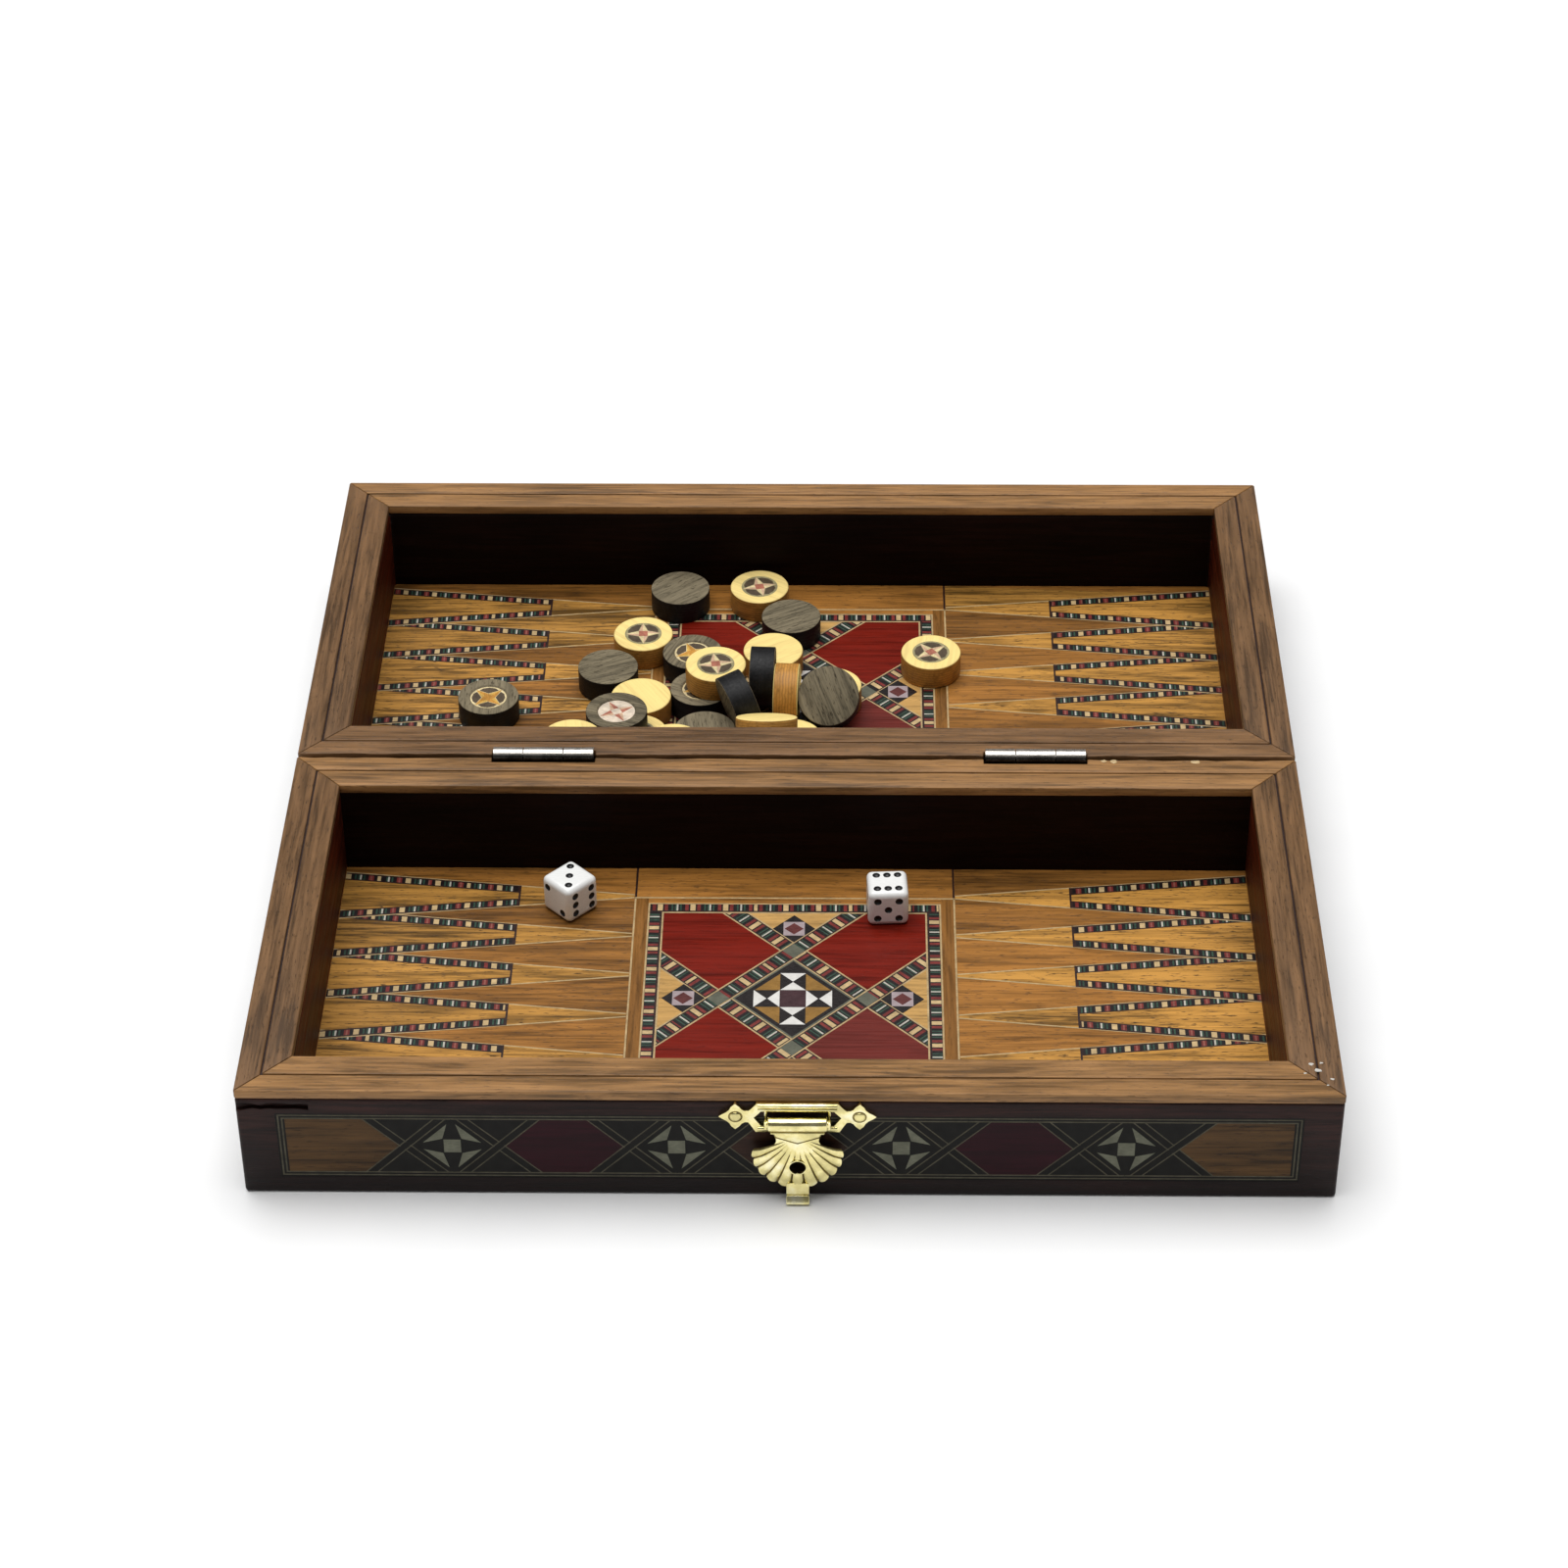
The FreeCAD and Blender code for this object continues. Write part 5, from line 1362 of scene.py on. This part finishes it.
        # painted shade: dark brass in the rib valleys towards the edge
        for face in fan.data.polygons:
            rib = (face.center.x + 0.5) * ribs
            if abs(rib - round(rib)) < 0.085 and 0.5 - face.center.y > 0.3:
                face.material_index = 1
        for corner in fan.data.vertices:
            turn = corner.co.x * 2.0 * sweep
            share = 0.5 - corner.co.y
            phase = (turn / sweep + 1.0) / 2.0 * ribs
            crest = abs(math.sin(phase * math.pi)) ** 0.7
            reach = drop * math.cos(turn) + math.sqrt(fan_radius ** 2 - (drop * math.sin(turn)) ** 2)
            reach -= valley * (1.0 - crest)
            radius = throat + (reach - throat) * share
            rise = sizes.rib_height * (crest - 0.35) * min(1.0, share * 1.4) + 0.25 * math.sin(share * math.pi)
            curl = 0.28 * max(0.0, share - 0.82) / 0.18
            corner.co = (radius * math.sin(turn) * MM, (apex - radius * math.cos(turn)) * MM,
                         (front + rise - curl + 0.15) * MM)
        fan.data.update()
        if sum(face.normal.z for face in fan.data.polygons) < 0:
            fan.data.flip_normals()
        modify(fan, "SOLIDIFY", thickness=0.4 * MM, offset=-1.0, use_rim=True)
        rim = [(FLAP_HOLE_RADIUS * math.cos(a), FLAP_HOLE + FLAP_HOLE_RADIUS * math.sin(a))
               for a in (i * math.pi / 20 for i in range(40))]
        hole = slab(rim, 0.5, 4.5, "brass_sheet")
        modify(fan, "BOOLEAN", operation="DIFFERENCE", solver="EXACT", object=hole)
        bpy.data.objects.remove(hole)
        pick(fan)
        bpy.ops.object.shade_smooth_by_angle(angle=math.radians(38.0))
        pieces = [fan]
        pieces.append(slab(mirrored(NECK_HALF), front - 0.25, front + 0.27, "brass_sheet", 0.16, 3))
        # the V fold, with dark brass strips along its creases as painted shade
        pieces.append(slab([(-4.5, 18.1), (4.5, 18.1), (4.0, 16.7), (0.0, 15.2), (-4.0, 16.7)],
                           front + 0.1, front + 0.72, "brass_sheet", 0.24, 3))
        pieces.append(block((9.8, 0.42, 0.7), (0, 17.75, front + 0.55), "brass_sheet", 0.2, 3))
        pieces.append(block((9.6, 0.16, 0.1), (0, 18.08, front + 0.74), "brass_crease_shade", 0.04, 1))
        for side in (-1, 1):
            pieces.append(slab(band((side * 4.1, 16.6), (0, 15.05), 0.09), front + 0.4, front + 0.62,
                               "brass_crease_shade", 0.03, 1))
        # the roll round the bar, the bead round the hole, and the finger tab with its turned-up lip
        pieces.append(rod((-5.4, CLASP_AXIS, front), (5.4, CLASP_AXIS, front), 1.38, "brass_sheet", 48, 0.25))
        pieces.append(self.ring((0, FLAP_HOLE, front + 0.55), 1.62, 0.16, "brass_sheet"))
        pieces.append(block((4.2, 2.7, 0.5), (0, 3.65, front + 0.1), "brass_sheet", 0.15, 3))
        pieces.append(block((4.0, 1.6, 0.2), (0, 1.9, front - 0.1), "brass_nail", 0.08, 2))
        lip = block((4.2, 1.75, 0.5), (0, 0, 0), "brass_sheet", 0.15, 3)
        settle(lip, Matrix.Translation(Vector((0, 1.16, front + 0.5)) * MM)
               @ Matrix.Rotation(math.radians(-34), 4, "X"))
        pieces.append(lip)
        own(settle(join(pieces, "flap"), self.upright), "clasp_shell_flap", "clasp_flap", "clasp_brass", "latch_flap")

    def keeper(self):
        """Catch plate on the rear tray with a turned nose."""
        low, high = (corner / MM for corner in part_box("keeper_plate"))
        back = Matrix.Translation((self.centre * MM, low.y * MM, 0)) @ Matrix(
            ((-1, 0, 0, 0), (0, 0, 1, 0), (0, 1, 0, 0), (0, 0, 0, 1)))
        middle_t = (low.z + high.z) / 2
        w, h = 6.5, 3.0
        sheet = slab([(w - 1, middle_t + h), (w, middle_t + h - 1), (w, middle_t - h + 1), (w - 1, middle_t - h),
                      (-w + 1, middle_t - h), (-w, middle_t - h + 1), (-w, middle_t + h - 1), (-w + 1, middle_t + h)],
                     0.0, 0.6, "brass_sheet", 0.18, 3)
        nose = rod((0, middle_t, 0.0), (0, middle_t, 3.1), 1.2, "brass_sheet", 40, 0.4)
        collar = rod((0, middle_t, 0.0), (0, middle_t, 1.0), 1.7, "brass_sheet", 40, 0.25)
        own(settle(join([sheet, nose, collar], "keeper"), back), "keeper_catch", "rear_tray", "clasp_brass",
            "keeper_plate")
        self.nails("keeper_nails", 4.6, middle_t, 0.6, "rear_tray", back)


# floor in metres, the wide soft light from above, and the camera: its place, its turns and its lens
FLOOR_RADIUS, COVE_RISE, COVE_STEPS = 3.2, 1.0, 12
ROOM_LIGHT, CEILING_WIDTH, CEILING_LIGHT, CEILING_AIM = 0.16, 58.0, 3.15, (0.10, -0.12, -1.0)
CAMERA_PLACE = (0.009885, -0.614274, 0.487030)
CAMERA_YAW, CAMERA_PITCH, CAMERA_ROLL = 0.0199, 0.6519, -0.0083
LENS_MM, SENSOR_MM = 88.10, 36.0


class BACKGAMMON_OT_stage(MakingOperator, bpy.types.Operator):
    """Set the pale floor, the soft lights and the camera"""
    bl_idname = "backgammon.stage"
    bl_label = "Stage"

    def cove(self, radius, rise, steps):
        """A round floor whose edge turns smoothly up into a low wall."""
        bpy.ops.mesh.primitive_circle_add(vertices=128, radius=radius, fill_type="NGON")
        floor = bpy.context.object
        floor.name = floor.data.name = "floor"
        bpy.ops.object.mode_set(mode="EDIT")
        bpy.ops.mesh.select_mode(type="EDGE")
        bpy.ops.mesh.select_all(action="SELECT")
        reach, height = radius, 0.0
        for step in range(1, steps + 1):
            angle = math.pi / 2 * step / steps
            next_reach, next_height = radius + rise * math.sin(angle), rise * (1.0 - math.cos(angle))
            bpy.ops.mesh.extrude_edges_move(TRANSFORM_OT_translate={"value": (0, 0, next_height - height)})
            bpy.ops.transform.resize(value=(next_reach / reach, next_reach / reach, 1.0),
                                     center_override=(0.0, 0.0, 0.0))
            reach, height = next_reach, next_height
        bpy.ops.mesh.select_mode(type="FACE")
        bpy.ops.object.mode_set(mode="OBJECT")
        pick(floor)
        bpy.ops.object.shade_smooth_by_angle(angle=math.radians(30.0))
        return floor

    def make(self, sizes, rng):
        scene = bpy.context.scene
        floor = self.cove(FLOOR_RADIUS, COVE_RISE, COVE_STEPS)
        recipe = Recipe("floor_white")
        speck = recipe.noise(recipe.mapping(), 30.0, 2.0)
        recipe.feed(recipe.shader.inputs["Base Color"],
                    recipe.ramp(speck, (0.3, (0.90, 0.90, 0.90)), (0.7, (0.93, 0.93, 0.93))))
        floor.data.materials.append(recipe.set(Roughness=0.6))

        world = bpy.data.worlds.new("studio")
        world.use_nodes = True
        scene.world = world
        background = world.node_tree.nodes["Background"]
        background.inputs["Color"].default_value = (1.0, 1.0, 1.0, 1.0)
        background.inputs["Strength"].default_value = ROOM_LIGHT
        sky = bpy.data.lights.new("ceiling", "SUN")
        sky.angle = math.radians(CEILING_WIDTH)
        sky.energy = CEILING_LIGHT
        lamp = bpy.data.objects.new("ceiling", sky)
        scene.collection.objects.link(lamp)
        lamp.matrix_world = Vector(CEILING_AIM).to_track_quat("-Z", "Y").to_matrix().to_4x4()

        camera = bpy.data.cameras.new("camera")
        camera.lens = LENS_MM
        camera.sensor_width = SENSOR_MM
        camera.clip_start = 0.01
        holder = bpy.data.objects.new("camera", camera)
        scene.collection.objects.link(holder)
        yaw, pitch, roll = CAMERA_YAW, CAMERA_PITCH, CAMERA_ROLL
        forward = Vector((-math.sin(yaw) * math.cos(pitch), math.cos(yaw) * math.cos(pitch), -math.sin(pitch)))
        right = Vector((math.cos(yaw), math.sin(yaw), 0.0))
        up = right.cross(forward)
        x_axis = right * math.cos(roll) + up * math.sin(roll)
        y_axis = up * math.cos(roll) - right * math.sin(roll)
        turn = Matrix((x_axis, y_axis, -forward)).transposed().to_4x4()
        holder.matrix_world = Matrix.Translation(CAMERA_PLACE) @ turn
        scene.camera = holder
        scene.view_settings.view_transform = "Standard"
        scene.view_settings.look = "None"


STEPS = (BACKGAMMON_OT_finishes, BACKGAMMON_OT_walls, BACKGAMMON_OT_rims, BACKGAMMON_OT_playfields,
         BACKGAMMON_OT_side_inlays, BACKGAMMON_OT_undersides, BACKGAMMON_OT_hinges, BACKGAMMON_OT_checkers,
         BACKGAMMON_OT_dice, BACKGAMMON_OT_clasp, BACKGAMMON_OT_stage)


class BACKGAMMON_PT_panel(bpy.types.Panel):
    """Lists the pieces of the set in the order they are made"""
    bl_idname = "BACKGAMMON_PT_panel"
    bl_label = "Backgammon Set"
    bl_space_type = "VIEW_3D"
    bl_region_type = "UI"
    bl_category = "Backgammon"

    def draw(self, context):
        for step in STEPS:
            self.layout.operator(step.bl_idname)
        for group in (context.scene.backgammon_sizes, context.scene.backgammon_colours):
            box = self.layout.box()
            for name in group.bl_rna.properties.keys():
                if name not in ("rna_type", "name"):
                    box.prop(group, name)


CLASSES = (BackgammonSizes, BackgammonColours, *STEPS, BACKGAMMON_PT_panel)


def register():
    for entry in CLASSES:
        bpy.utils.register_class(entry)
    bpy.types.Scene.backgammon_sizes = PointerProperty(type=BackgammonSizes)
    bpy.types.Scene.backgammon_colours = PointerProperty(type=BackgammonColours)


def unregister():
    del bpy.types.Scene.backgammon_colours
    del bpy.types.Scene.backgammon_sizes
    for entry in reversed(CLASSES):
        bpy.utils.unregister_class(entry)


def main():
    register()
    for step in STEPS:
        group, name = step.bl_idname.split(".")
        getattr(getattr(bpy.ops, group), name)()


if __name__ == "__main__":
    main()
